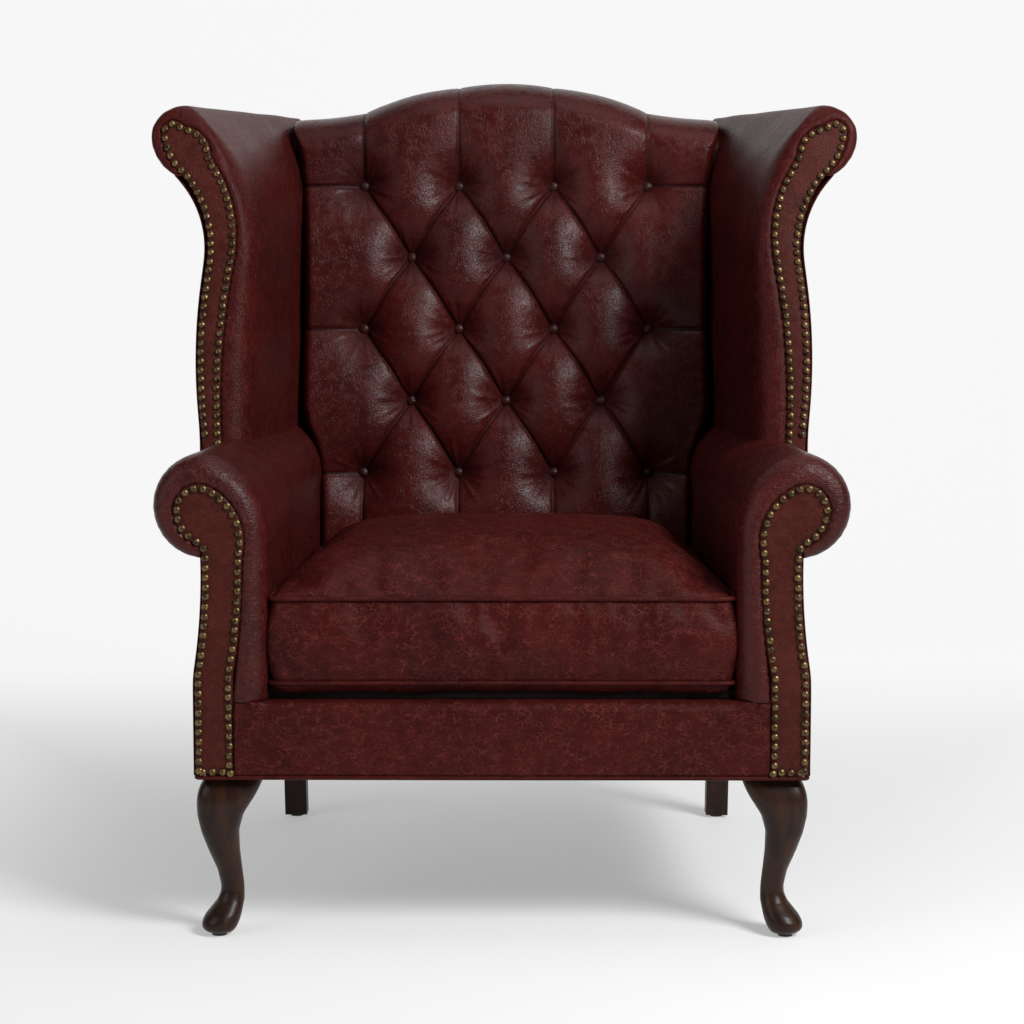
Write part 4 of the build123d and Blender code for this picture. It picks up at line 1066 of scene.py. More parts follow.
@dataclass
class FlaredWing:
    """One wing: padded cover with a rolled ear, facing framed by nails, outside panel."""

    side: Side
    forward: float = 428.0
    foot: float = 560.0
    top_front: float = 1025.0
    top_rear: float = 1031.0
    inner_front: float = 327.0
    inner_rear: float = 288.0
    reach: float = 464.0
    rear_outer: float = 340.0
    rim_depth: float = 38.0
    stations: int = 62
    over_rows: tuple = (
        (False, 0.04, 0.0, 0.04, 0.0), (False, 0.0, 0.516, 0.0, 0.69), (True, 0.146, 0.806, 0.12, 0.9),
        (False, 0.657, 1.0, 0.54, 1.0), (True, 0.905, 0.97, 0.87, 0.985), (False, 1.0, 0.905, 1.0, 0.952),
        (True, 0.942, 0.854, 1.01, 0.92), (False, 0.752, 0.804, 0.98, 0.887))
    flank_rows: tuple = (
        (False, 0.752, 0.804, 0.98, 0.887), (True, 0.555, 0.725, 0.955, 0.8), (False, 0.46, 0.559, 0.96, 0.69),
        (True, 0.533, 0.301, 0.975, 0.39), (False, 0.482, 0.086, 0.96, 0.086), (False, 0.482, 0.0, 0.96, 0.0))
    facing: tuple = (
        (0.255, 0.0), (0.285, 0.26), (0.17, 0.56), (0.2, 0.74), (0.4, 0.857), (0.5, 0.925), (0.65, 0.94), (0.84, 0.95),
        (0.87, 0.905), (0.8, 0.845), (0.66, 0.8), (0.49, 0.71), (0.435, 0.559), (0.515, 0.301), (0.468, 0.086))

    def section(self, rows: tuple, share: float, counts: Sequence[int]) -> np.ndarray:
        """Section path at a share of the way back.

        Args:
            rows: over or flank rows.
            share: 0 at the facing, 1 at the frame.
            counts: steps of each run.

        Returns:
            Points (x, z).
        """
        points = []
        for _, fx, fz, rx, rz in rows:
            front_x = self.inner_front + fx * (self.reach - self.inner_front)
            rear_x = self.inner_rear + rx * (self.rear_outer - self.inner_rear)
            front_z = self.foot + fz * (self.top_front - self.foot)
            rear_z = self.foot + rz * (self.top_rear - self.foot)
            points.append((mix(front_x, rear_x, share), mix(front_z, rear_z, share)))
        return softened(piece_points(np.array(points), [row[0] for row in rows], counts), 14)

    def stood(self, flat: np.ndarray, forward: np.ndarray | float) -> np.ndarray:
        """Section points as x, y, z at a distance in front of the frame."""
        return np.column_stack([flat[:, 0], frame_y(flat[:, 1]) - forward, flat[:, 1]])

    def facing_points(self, last: int) -> np.ndarray:
        """The first points (x, z) of the facing's edge, up the inner side, over the ear and down."""
        low = np.array([self.inner_front, self.foot])
        return low + np.array(self.facing[:last]) * (np.array([self.reach, self.top_front]) - low)

    def facing_outline(self) -> np.ndarray:
        """Closed outline of the facing, standing a little inside the arm."""
        path = softened(facing_curve(self.facing_points(15), [34, 20, 20, 16, 16, 26, 26]), 2)
        return np.vstack([path, [(path[-1][0] - 1.5, self.foot)]])

    def at(self, near: np.ndarray, far: np.ndarray, forward: np.ndarray | float) -> np.ndarray:
        """Section at a distance in front of the frame, between the front and the rear section."""
        return near + (far - near) * np.asarray((self.forward - forward) / self.forward)[..., None]

    def cover(self, finish: bpy.types.Material) -> None:
        """Padded cover over the inside face, the top and the rolled ear, from the facing to the rear.

        Args:
            finish: leather.
        """
        counts = [56, 56, 26, 22]
        nose = self.forward - 2.5
        near = self.section(self.over_rows, 0.0, counts)
        far = self.section(self.over_rows, 1.0, counts)
        half = counts[1] // 2
        edge = softened(facing_curve(self.facing_points(11), [counts[0], half, counts[1] - half, *counts[2:]]), 3)
        columns = len(near)
        length = lengths_along(near)
        along = np.linspace(0, 1, columns)
        gap = np.linalg.norm(near - edge, axis=1)
        depth = np.clip(gap * 0.95, 4.0, self.rim_depth)
        ear = smooth_share((along - 0.5) / 0.16)
        ruche = 0.65 * (0.1 + 0.9 * ear) * ripple(length / 90.0, 13, 7, 3.0, 10.0)
        rows, crease_shade = rim_rows(edge, gap, depth, ruche, lambda back: self.at(near, far, nose - back),
                                lambda flat, back: self.stood(flat, nose - back))
        inner = 1 - smooth_share((far[:, 0] - 292.0) / 10.0)
        end = -COVER_REAR + inner * (COVER_REAR + 4.0)
        for step in range(1, self.stations + 1):
            share = step / self.stations
            forward = nose - depth + (end - nose + depth) * share
            here = self.at(near, far, forward)
            fade = math.exp(-step / 5.0)
            sag = 0.8 * ripple(length / 240.0 + share * 1.3, 15, 4, 0.6, 2.0) * smooth_share(share * 5)
            sag = sag + 1.1 * ripple(share * 1.6 + length / 700.0, 18, 4, 0.8, 2.4) * smooth_share(share * 4)
            moved = here + path_normals(here) * (sag * 0.7 + ruche * 0.5 * fade)[:, None]
            rows.append(self.stood(moved, forward))
            # painted shade in the small gathers behind the front edge, fading further back
            crease_shade.append(np.clip(-ruche, 0, 1) * 0.2 * fade)
        side_cover(self.side, "wing", np.stack(rows), np.stack(crease_shade), finish)

    def outside(self, finish: bpy.types.Material) -> None:
        """Plain panel behind the ear, down to the arm.

        Args:
            finish: leather.
        """
        counts = [30, 34, 6]
        near = self.section(self.flank_rows, 0.0, counts) - [0.4, 0.0]
        far = self.section(self.flank_rows, 1.0, counts) - [0.4, 0.0]
        rows = []
        for forward in np.linspace(self.forward - 5.5, -COVER_REAR, 49):
            rows.append(self.stood(self.at(near, far, forward), forward))
        side_panel(self.side, "wing", np.stack(rows), finish)


# ---------------------------------------------------------------- facings and nails


def loop_distance(points: np.ndarray, loop: np.ndarray) -> np.ndarray:
    """Distance of plane points to a closed loop.

    Args:
        points: the points.
        loop: corners of the loop.

    Returns:
        One distance for each point.
    """
    start, end = loop, np.roll(loop, -1, axis=0)
    run = end - start
    size = np.maximum((run ** 2).sum(axis=1), 1e-9)
    best = np.full(len(points), 1e9)
    for a, d, s in zip(start, run, size):
        share = np.clip(((points - a) @ d) / s, 0, 1)
        best = np.minimum(best, np.hypot(*(points - a - share[:, None] * d).T))
    return best


def inset_loop(loop: np.ndarray, inset: float) -> np.ndarray:
    """The loop moved inwards, its points running clockwise in (x, z).

    Args:
        loop: its points.
        inset: distance in millimetres.

    Returns:
        Array of points.
    """
    ahead = np.roll(loop, -1, axis=0) - np.roll(loop, 1, axis=0)
    ahead /= np.linalg.norm(ahead, axis=1, keepdims=True) + 1e-9
    return loop + np.stack([ahead[:, 1], -ahead[:, 0]], axis=1) * inset


@dataclass
class Facing:
    """Flat leather panel with turned-in edges, closed at the back."""

    side: Side
    word: str
    outline: np.ndarray
    stand: Callable[[np.ndarray, np.ndarray], np.ndarray]
    thickness: float = 5.0
    edge_roll: float = 5.0
    crown: float = 0.5
    spacing: float = 4.0

    def build(self, finish: bpy.types.Material) -> None:
        """Makes the panel as a closed mesh.

        Args:
            finish: leather.
        """
        closed = np.vstack([self.outline, self.outline[:1]])
        length = np.linalg.norm(np.diff(closed, axis=0), axis=1).sum()
        loop = resampled(closed, int(length / 3.0))[:-1]
        low, high = loop.min(axis=0), loop.max(axis=0)
        xs, zs = np.meshgrid(np.arange(low[0], high[0], self.spacing), np.arange(low[1], high[1], self.spacing))
        inside = np.column_stack([xs.ravel(), zs.ravel()])
        rings = [inset_loop(loop, 1.0), inset_loop(loop, 2.4), inset_loop(loop, 4.2)]
        near = loop_distance(inside, loop)
        inside = inside[near > 5.5]
        candidates = np.vstack([loop] + rings + [inside])
        corners = [mathutils.Vector((float(x), float(z))) for x, z in candidates]
        count = len(loop)
        found = mathutils.geometry.delaunay_2d_cdt(corners, [], [list(range(count))], 1, 0.01)
        flat = np.array([(v.x, v.y) for v in found[0]])
        faces = [tuple(face) for face in found[2]]
        away = loop_distance(flat, loop)
        rise = np.sqrt(np.clip(1 - (1 - np.clip(away / self.edge_roll, 0, 1)) ** 2, 0, 1))
        uneven = 0.25 * ripple(flat[:, 1] / 160.0 + flat[:, 0] / 90.0, 41, 4, 0.6, 2.0)
        quilt = self.crown * smooth_share(away / 24.0) + uneven
        depth = self.thickness - (self.thickness - 0.9) * rise - quilt * smooth_share(away / 8.0)
        front = placed(self.stand(flat, depth), self.side)
        back = placed(self.stand(flat, np.full(len(flat), self.thickness + 0.4)), self.side)
        size = len(flat)
        edge_use: dict[tuple[int, int], int] = {}
        for face in faces:
            for a, b in zip(face, face[1:] + face[:1]):
                edge_use[(a, b)] = edge_use.get((a, b), 0) + 1
        rim = [edge for edge in edge_use if (edge[1], edge[0]) not in edge_use]
        every = faces + [tuple(size + i for i in reversed(face)) for face in faces]
        every += [(b, a, size + a, size + b) for a, b in rim]
        name = f"{self.side.word}_{self.word}_facing"
        made = mesh_object(name + "_hide", np.vstack([front, back]), every, finish)
        weld(made)
        shown(made, "chair", "leather", name)


@dataclass
class NailTrim:
    """Row of round-headed brass nails along a path, made by Geometry Nodes."""

    pitch: float = 0.0118
    radius: float = 0.0048
    height: float = 0.0032
    seed: int = SEED

    def tree(self, finish: bpy.types.Material) -> bpy.types.NodeTree:
        """Builds the node tree: path to points, a domed head on each, turned a little at random.

        Args:
            finish: brass.

        Returns:
            The node group.
        """
        group = bpy.data.node_groups.new("nail_trim", "GeometryNodeTree")
        face = group.interface
        face.new_socket("Geometry", in_out="INPUT", socket_type="NodeSocketGeometry")
        for label, kind in (("Pitch", "NodeSocketFloat"), ("Radius", "NodeSocketFloat"), ("Height", "NodeSocketFloat"),
                            ("Tilt", "NodeSocketVector"), ("Seed", "NodeSocketInt")):
            face.new_socket(label, in_out="INPUT", socket_type=kind)
        face.new_socket("Geometry", in_out="OUTPUT", socket_type="NodeSocketGeometry")

        def add(kind: str, **settings: object) -> bpy.types.Node:
            """Adds a node with its settings.

            Args:
                kind: node type name.
                settings: its properties.

            Returns:
                The new node.
            """
            made = group.nodes.new(kind)
            for key, value in settings.items():
                setattr(made, key, value)
            return made

        nodes = {
            "entry": add("NodeGroupInput"), "leave": add("NodeGroupOutput"), "curve": add("GeometryNodeMeshToCurve"),
            "spaced": add("GeometryNodeResampleCurve", mode="LENGTH"),
            "points": add("GeometryNodeCurveToPoints", mode="EVALUATED"),
            "dome": add("GeometryNodeMeshUVSphere"), "across": add("ShaderNodeCombineXYZ"),
            "sized": add("GeometryNodeTransform"), "turn": add("FunctionNodeRandomValue", data_type="FLOAT_VECTOR"),
            "spread": add("FunctionNodeRandomValue", data_type="FLOAT_VECTOR"),
            "moved": add("GeometryNodeSetPosition"), "heads": add("GeometryNodeInstanceOnPoints"),
            "wobble": add("GeometryNodeRotateInstances"), "real": add("GeometryNodeRealizeInstances"),
            "dress": add("GeometryNodeSetMaterial"), "shade": add("GeometryNodeSetShadeSmooth")}
        for name, socket, value in (
                ("dome", "Segments", 12), ("dome", "Rings", 7), ("dome", "Radius", 1.0), ("dress", "Material", finish),
                ("turn", 0, (-0.10, -0.10, -3.1)), ("turn", 1, (0.10, 0.10, 3.1)),
                ("spread", 0, (-0.00035, -0.0002, -0.00035)), ("spread", 1, (0.00035, 0.0002, 0.00035))):
            nodes[name].inputs[socket].default_value = value
        for source, output, target, entry in (
                ("entry", "Geometry", "curve", 0), ("curve", 0, "spaced", "Curve"),
                ("entry", "Pitch", "spaced", "Length"), ("spaced", 0, "points", "Curve"),
                ("points", "Points", "moved", "Geometry"), ("entry", "Seed", "spread", "Seed"),
                ("entry", "Seed", "turn", "Seed"), ("spread", 0, "moved", "Offset"),
                ("entry", "Radius", "across", 0), ("entry", "Radius", "across", 1), ("entry", "Height", "across", 2),
                ("dome", "Mesh", "sized", "Geometry"), ("across", 0, "sized", "Scale"), ("moved", 0, "heads", "Points"),
                ("sized", 0, "heads", "Instance"), ("entry", "Tilt", "heads", "Rotation"),
                ("heads", 0, "wobble", "Instances"), ("turn", 0, "wobble", "Rotation"), ("wobble", 0, "real", 0),
                ("real", 0, "shade", "Geometry"), ("shade", 0, "dress", "Geometry"), ("dress", 0, "leave", 0)):
            group.links.new(nodes[source].outputs[output], nodes[target].inputs[entry])
        return group

    def along(self, name: str, path: np.ndarray, tilt: float, group: bpy.types.NodeTree) -> None:
        """Shows nails along an open path of points in metres.

        Args:
            name: object name.
            path: the points.
            tilt: turn about X of the nail's axis, in radians.
            group: node tree.
        """
        mesh = bpy.data.meshes.new(name)
        mesh.from_pydata([tuple(p) for p in path], [(i, i + 1) for i in range(len(path) - 1)], [])
        made = bpy.data.objects.new(name, mesh)
        bpy.context.scene.collection.objects.link(made)
        maker = made.modifiers.new("nails", "NODES")
        maker.node_group = group
        values = {"Pitch": self.pitch, "Radius": self.radius, "Height": self.height, "Tilt": (tilt, 0.0, 0.0),
                  "Seed": self.seed}
        for item in group.interface.items_tree:
            if item.item_type == "SOCKET" and item.in_out == "INPUT" and item.name in values:
                maker[item.identifier] = values[item.name]
        shown(settled(made), "chair", "brass")


def arm_stand(flat: np.ndarray, depth: np.ndarray) -> np.ndarray:
    """Facing points of an arm, upright in the front plane."""
    return np.column_stack([flat[:, 0], depth, flat[:, 1]])


def wing_stand(flat: np.ndarray, depth: np.ndarray) -> np.ndarray:
    """Facing points of a wing, in its leaning plane."""
    return np.column_stack([flat[:, 0], frame_y(flat[:, 1]) - 428.0 + depth, flat[:, 1]])


# ---------------------------------------------------------------- buttoned back


@dataclass
class ButtonedBack:
    """Deep-buttoned inside back: diamonds between five rows of buttons, flutes to the crest and the seat."""

    pitch: float = 68.0
    row_pitch: float = 102.0
    top_row: float = 928.0
    loft: float = 108.0
    tuck: float = 26.0
    tuck_start: float = 500.0
    foot: float = 308.0
    seam_loft: float = 74.0
    pleat: float = 13.5
    pleat_power: float = 0.62
    dimple: float = 25.0
    dimple_reach: float = 27.0
    side_round: float = 13.0
    bow: float = 5.0
    crest_height: float = 46.0
    crest_depth: float = 72.5
    steps: int = 32
    crest_top: float = 1078.0
    crest_reach: float = 208.0
    crest_rise: float = 42.0
    shoulder: float = 92.0
    shoulder_drop: float = 10.0
    shoulder_z: float = 1020.0
    up_count: int = 26
    turn_count: int = 44
    side_count: int = 34
    last_row: float = 4.0
    half_width: tuple = (
        (308, 264), (510, 266), (540, 269), (565, 276), (590, 287), (617, 292), (661, 291.5), (725, 289.5), (797, 289),
        (866, 290), (920, 292.5), (956, 296), (993, 302), (1025, 306.5), (1100, 309))
    button: tuple = (
        (0.0, 4.6), (2.4, 4.4), (4.7, 3.6), (6.5, 2.1), (7.5, 0.2), (7.6, -1.6), (6.2, -3.4), (0.0, -3.8))
    button_scale: float = 1.14
    button_seat: float = 4.2

    def crest(self, x: np.ndarray) -> np.ndarray:
        """Height of the crest line at x: a bow in the middle and a low shoulder on both sides.

        Args:
            x: across.

        Returns:
            Heights like x.
        """
        reach = np.abs(x)
        radius = (self.crest_reach ** 2 + self.crest_rise ** 2) / (2 * self.crest_rise)
        middle = self.crest_top - radius + np.sqrt(radius ** 2 - np.minimum(reach, self.crest_reach) ** 2)
        share = np.clip((reach - self.crest_reach) / self.shoulder, 0, 1)
        low = self.crest_top - self.crest_rise - self.shoulder_drop * (1 - (1 - share) ** 2)
        return np.where(reach <= self.crest_reach, middle, low)

    def half(self, z: np.ndarray) -> np.ndarray:
        """Half width of the back at a height."""
        table = np.array(self.half_width)
        return np.interp(z, table[:, 0], table[:, 1])

    def folds(self, u: np.ndarray, v: np.ndarray) -> tuple[np.ndarray, np.ndarray]:
        """Fullness and closeness to a pleat at lattice coordinates.

        Args:
            u: across, one unit a half pitch.
            v: down from the top row, one unit a row.

        Returns:
            Fullness from 0 on a pleat to 1, and the distance to the nearest pleat in millimetres.
        """
        side, rows = np.abs(u), self.last_row
        a, b = (u + v + 1) / 2, (u - v + 1) / 2
        slant = 2 / math.hypot(1 / self.pitch, 1 / self.row_pitch)
        beyond, across = np.maximum(-v, v - rows), np.clip(side - 3.0, 0, None)
        flute = np.abs(np.cos(np.pi * u / 2)) ** (2.0 - smooth_share(beyond / 0.55))
        level = np.abs(np.sin(np.pi * np.clip(v, 0, rows) / 2)) ** (2.0 - smooth_share(across / 0.5))
        corner = (np.sin(np.pi / 2 * np.clip(across / 1.15, 0, 1)) * np.sin(np.pi / 2 * np.clip(beyond, 0, 1))) ** 0.9
        zones = [(beyond > 0) & (side > 3), beyond > 0, side > 3]
        full = np.select(zones, [corner, flute, level], np.abs(np.sin(np.pi * a) * np.sin(np.pi * b)))
        near = np.select(zones, [np.minimum((side - 3) * self.pitch, beyond * self.row_pitch),
                                 off_whole((u - 1) / 2) * 2 * self.pitch, off_whole(v / 2) * 2 * self.row_pitch],
                         np.minimum(off_whole(a), off_whole(b)) * slant)
        return full, near

    def buttons(self) -> list[tuple[float, float]]:
        """Lattice places of the eighteen buttons."""
        return [(float(u), float(v)) for v in range(5) for u in range(-3, 4) if (u + v) % 2]

    def surface(self, x: np.ndarray, z: np.ndarray) -> tuple[np.ndarray, np.ndarray, np.ndarray]:
        """Height of the stuffing in front of the frame.

        Args:
            x: across.
            z: height.

        Returns:
            Distance in front of the frame, painted shade of the pleats and round the buttons, and pull values.
        """
        u, v = x / self.pitch, (self.top_row - z) / self.row_pitch
        full, near = self.folds(u, v)
        fade = 1 - 0.55 * smooth_share((self.foot + 120 - z) / 120) - 0.55 * smooth_share(-v / 1.1)
        forward = self.loft - self.tuck * smooth_share((self.tuck_start - z) / (self.tuck_start - self.foot))
        forward = forward - self.pleat * fade * (1 - full ** self.pleat_power)
        # painted shade: a thin dark line along each pleat
        crease_shade = np.exp(-(near / 1.15) ** 2)
        forward = forward - 3.0 * np.exp(-(near / 1.9) ** 2) * (0.35 + 0.65 * fade)
        pull = np.zeros_like(x)
        chance = np.random.default_rng(SEED + 5)
        for column, row in self.buttons():
            dx, dz = x - column * self.pitch, z - (self.top_row - row * self.row_pitch)
            away = np.hypot(dx, dz)
            forward = forward - self.dimple * np.exp(-(away / self.dimple_reach) ** 1.35)
            angle = np.arctan2(dz, dx)
            lines = 0.0
            for count, weight in ((9, 0.5), (14, 0.5), (21, 0.35)):
                phase = chance.uniform(0, 6.28)
                lines = lines + weight * np.sin(count * angle + phase + 0.03 * away * chance.uniform(-1, 1))
            band = np.exp(-((away - 25) / 19) ** 2) * smooth_share((away - 6) / 8)
            strength = chance.uniform(0.55, 1.0)
            forward = forward + 1.05 * strength * lines * band
            pull = pull + np.abs(lines) * band * 0.25
            # painted shade round each button: a dark ring over the dimple and a wider, softer dark patch
            crease_shade = np.maximum(crease_shade, 0.9 * np.exp(-(away / 10.5) ** 4))
            crease_shade = np.maximum(crease_shade, 0.6 * np.exp(-(away / 22.0) ** 2))
        wave = (0.9 * ripple(x / 240.0 + z / 520.0, 21, 5, 0.6, 2.6)
                + 0.8 * ripple(z / 260.0 - x / 610.0, 22, 5, 0.6, 2.6))
        forward = forward + wave * full
        round_here = self.side_round * (1 - 0.8 * smooth_share((z - 975.0) / 40.0))
        edge = np.clip((self.half(z) - np.abs(x)) / round_here, 0, 1)
        drop = 1 - np.sqrt(np.clip(1 - (1 - edge) ** 2, 0, 1))
        forward = forward - (forward - self.seam_loft) * drop
        return forward, crease_shade, pull

    def grid(self) -> tuple[np.ndarray, np.ndarray, np.ndarray, np.ndarray]:
        """Points of the whole cover, from the seat up and over the crest.

        Returns:
            Points, crease, pull and the split of each cell.
        """
        inner = np.arange(-3 * self.steps, 3 * self.steps + 1) / self.steps
        outer = 3 + np.sin(np.linspace(0, 1, self.side_count + 1)[1:] * np.pi / 2)
        columns = np.concatenate([-outer[::-1], inner, outer])
        level = np.ones(len(columns))
        low = np.linspace((self.top_row - self.foot) / self.row_pitch, self.last_row, 60)[:-1]
        down = np.arange(4 * self.steps, -1, -1) / self.steps

        def width(z: np.ndarray) -> np.ndarray:
            """Column positions at heights: lattice inside, stretched to the half width outside.

            Args:
                z: height of each column.

            Returns:
                Their x.
            """
            side = np.abs(columns)
            stretched = 3 * self.pitch + (side - 3) * (self.half(z) - 3 * self.pitch)
            return np.sign(columns) * np.where(side <= 3, side * self.pitch, stretched)

        rows = []
        for v in np.concatenate([low, down]):
            z = level * (self.top_row - v * self.row_pitch)
            rows.append((width(z), z, 0 * level))
        for share in np.arange(1, self.up_count + 1) / self.up_count:
            x = width(level * self.top_row)
            for _ in range(2):
                z = self.top_row + share * (self.crest(x) - self.crest_height - self.top_row)
                x = width(z)
            rows.append((x, z, 0 * level))
        x = width(level * self.shoulder_z)
        for angle in np.arange(1, self.turn_count + 1) / self.turn_count * math.radians(172):
            rows.append((x, self.crest(x) - self.crest_height, angle * level))
        x, z, roll = (np.stack(part) for part in zip(*rows))
        arc = roll * 60.0
        forward, crease_shade, pull = self.surface(x, z + np.minimum(arc, 90) * 0.9)
        base_forward, _, _ = self.surface(x, z)
        cut = self.loft - np.where(roll > 0, forward, base_forward)
        ease_side = np.sqrt(np.clip(1 - (1 - np.clip((self.half(z) + 4 - np.abs(x)) / 26, 0, 1)) ** 2, 0, 1))
        keep = np.exp(-(roll / 2.1) ** 3)
        middle = self.loft - self.crest_depth
        deep = self.crest_depth - cut * keep
        high = self.crest_height - cut * keep * 0.55
        rise = high * (0.94 + 0.06 * ease_side)
        behind = np.clip((roll - math.pi / 2) / math.radians(82), 0, 1)
        over = np.clip(behind / 0.86, 0, 1)
        down_rear = 7.0 * over ** 1.6 + 14.0 * np.clip((behind - 0.86) / 0.14, 0, 1)
        parts = [behind > 0, roll > 0]
        rolled = [middle - (middle + COVER_REAR) * over, middle + deep * np.cos(roll)]
        final_forward = np.select(parts, rolled, base_forward)
        final_z = np.select(parts, [z + rise - down_rear, z + rise * np.sin(roll)], z)
        bend = np.sin(np.pi * (self.top_row - z) / self.row_pitch) ** 2
        within = (z < self.top_row) & (z > self.top_row - 4 * self.row_pitch)
        middle_part = 1 - smooth_share((np.abs(x) - 2.3 * self.pitch) / (0.7 * self.pitch))
        lift = np.where(within, self.bow * bend * middle_part, 0.0)
        y = frame_y(final_z) - final_forward
        points = np.stack([x, y, final_z + lift], axis=-1)
        u_mid = (columns[:-1] + columns[1:]) / 2
        v_all = (self.top_row - z[:, 0]) / self.row_pitch
        v_mid = (v_all[:-1] + v_all[1:]) / 2
        a = (u_mid[None, :] + v_mid[:, None] + 1) / 2
        b = (u_mid[None, :] - v_mid[:, None] + 1) / 2
        return points, crease_shade, pull, off_whole(a) < off_whole(b)

    def cover(self, finish: bpy.types.Material) -> None:
        """Makes the buttoned cover.

        Args:
            finish: leather.
        """
        points, crease_shade, pull, rising = self.grid()
        made = lattice("buttoned_back_hide", points, finish, crease_shade, pull, rising=rising)
        shown(made, "chair", "leather", "back_cover", "back_pad")

    def button_set(self, finish: bpy.types.Material) -> None:
        """Covered buttons, domed, one at every joint of the pleats.

        Args:
            finish: leather.
        """
        profile = np.array(self.button) * self.button_scale
        segments = 20
        vertices, faces = [], []
        for column, row in self.buttons():
            x, z = column * self.pitch, self.top_row - row * self.row_pitch
            forward, _, _ = self.surface(np.array([x]), np.array([z]))
            centre = np.array([x, frame_y(z) - forward[0] - self.button_seat, z])
            lean = math.atan(LEAN)
            out = np.array([0.0, -math.cos(lean), math.sin(lean)])
            up = np.array([0.0, math.sin(lean), math.cos(lean)])
            first = len(vertices)
            for radius, height in profile[1:-1]:
                for turn in np.linspace(0, 2 * np.pi, segments, endpoint=False):
                    across = np.array([radius * math.cos(turn), 0.0, 0.0])
                    vertices.append(centre + across + up * radius * math.sin(turn) + out * height)
            vertices += [centre + out * profile[0][1], centre + out * profile[-1][1]]
            rings = len(profile) - 2
            for ring in range(rings - 1):
                for i in range(segments):
                    a, b = first + ring * segments + i, first + ring * segments + (i + 1) % segments
                    faces.append((a, a + segments, b + segments, b))
            tip, tail = first + rings * segments, first + rings * segments + 1
            last = first + (rings - 1) * segments
            for i in range(segments):
                faces.append((tip, first + i, first + (i + 1) % segments))
                faces.append((tail, last + (i + 1) % segments, last + i))
        made = mesh_object("back_button_set", placed(np.array(vertices)), faces, finish)
        weld(made)
        shown(made, "chair", "leather", "back_buttons")


# ---------------------------------------------------------------- seat


def trapezoid(half_front: float, half_rear: float, front: float, rear: float) -> list[np.ndarray]:
    """Corners of a plan that narrows to the rear, front left first."""
    return [np.array(c) for c in ((-half_front, front), (half_front, front), (half_rear, rear), (-half_rear, rear))]


def rounded(corners: Sequence[np.ndarray], radius: float, count: int) -> list[np.ndarray]:
    """Rounded corners of a closed plan, each as a short path.

    Args:
        corners: sharp corners.
        radius: how far each rounding reaches along both sides.
        count: points of each path.

    Returns:
        One path for each corner.
    """
    share, paths = np.linspace(0, 1, count)[:, None], []
    for i, here in enumerate(corners):
        near, far = (here + (other - here) / np.linalg.norm(other - here) * radius
                     for other in (corners[i - 1], corners[(i + 1) % len(corners)]))
        paths.append(near * (1 - share) ** 2 + here * 2 * share * (1 - share) + far * share ** 2)
    return paths


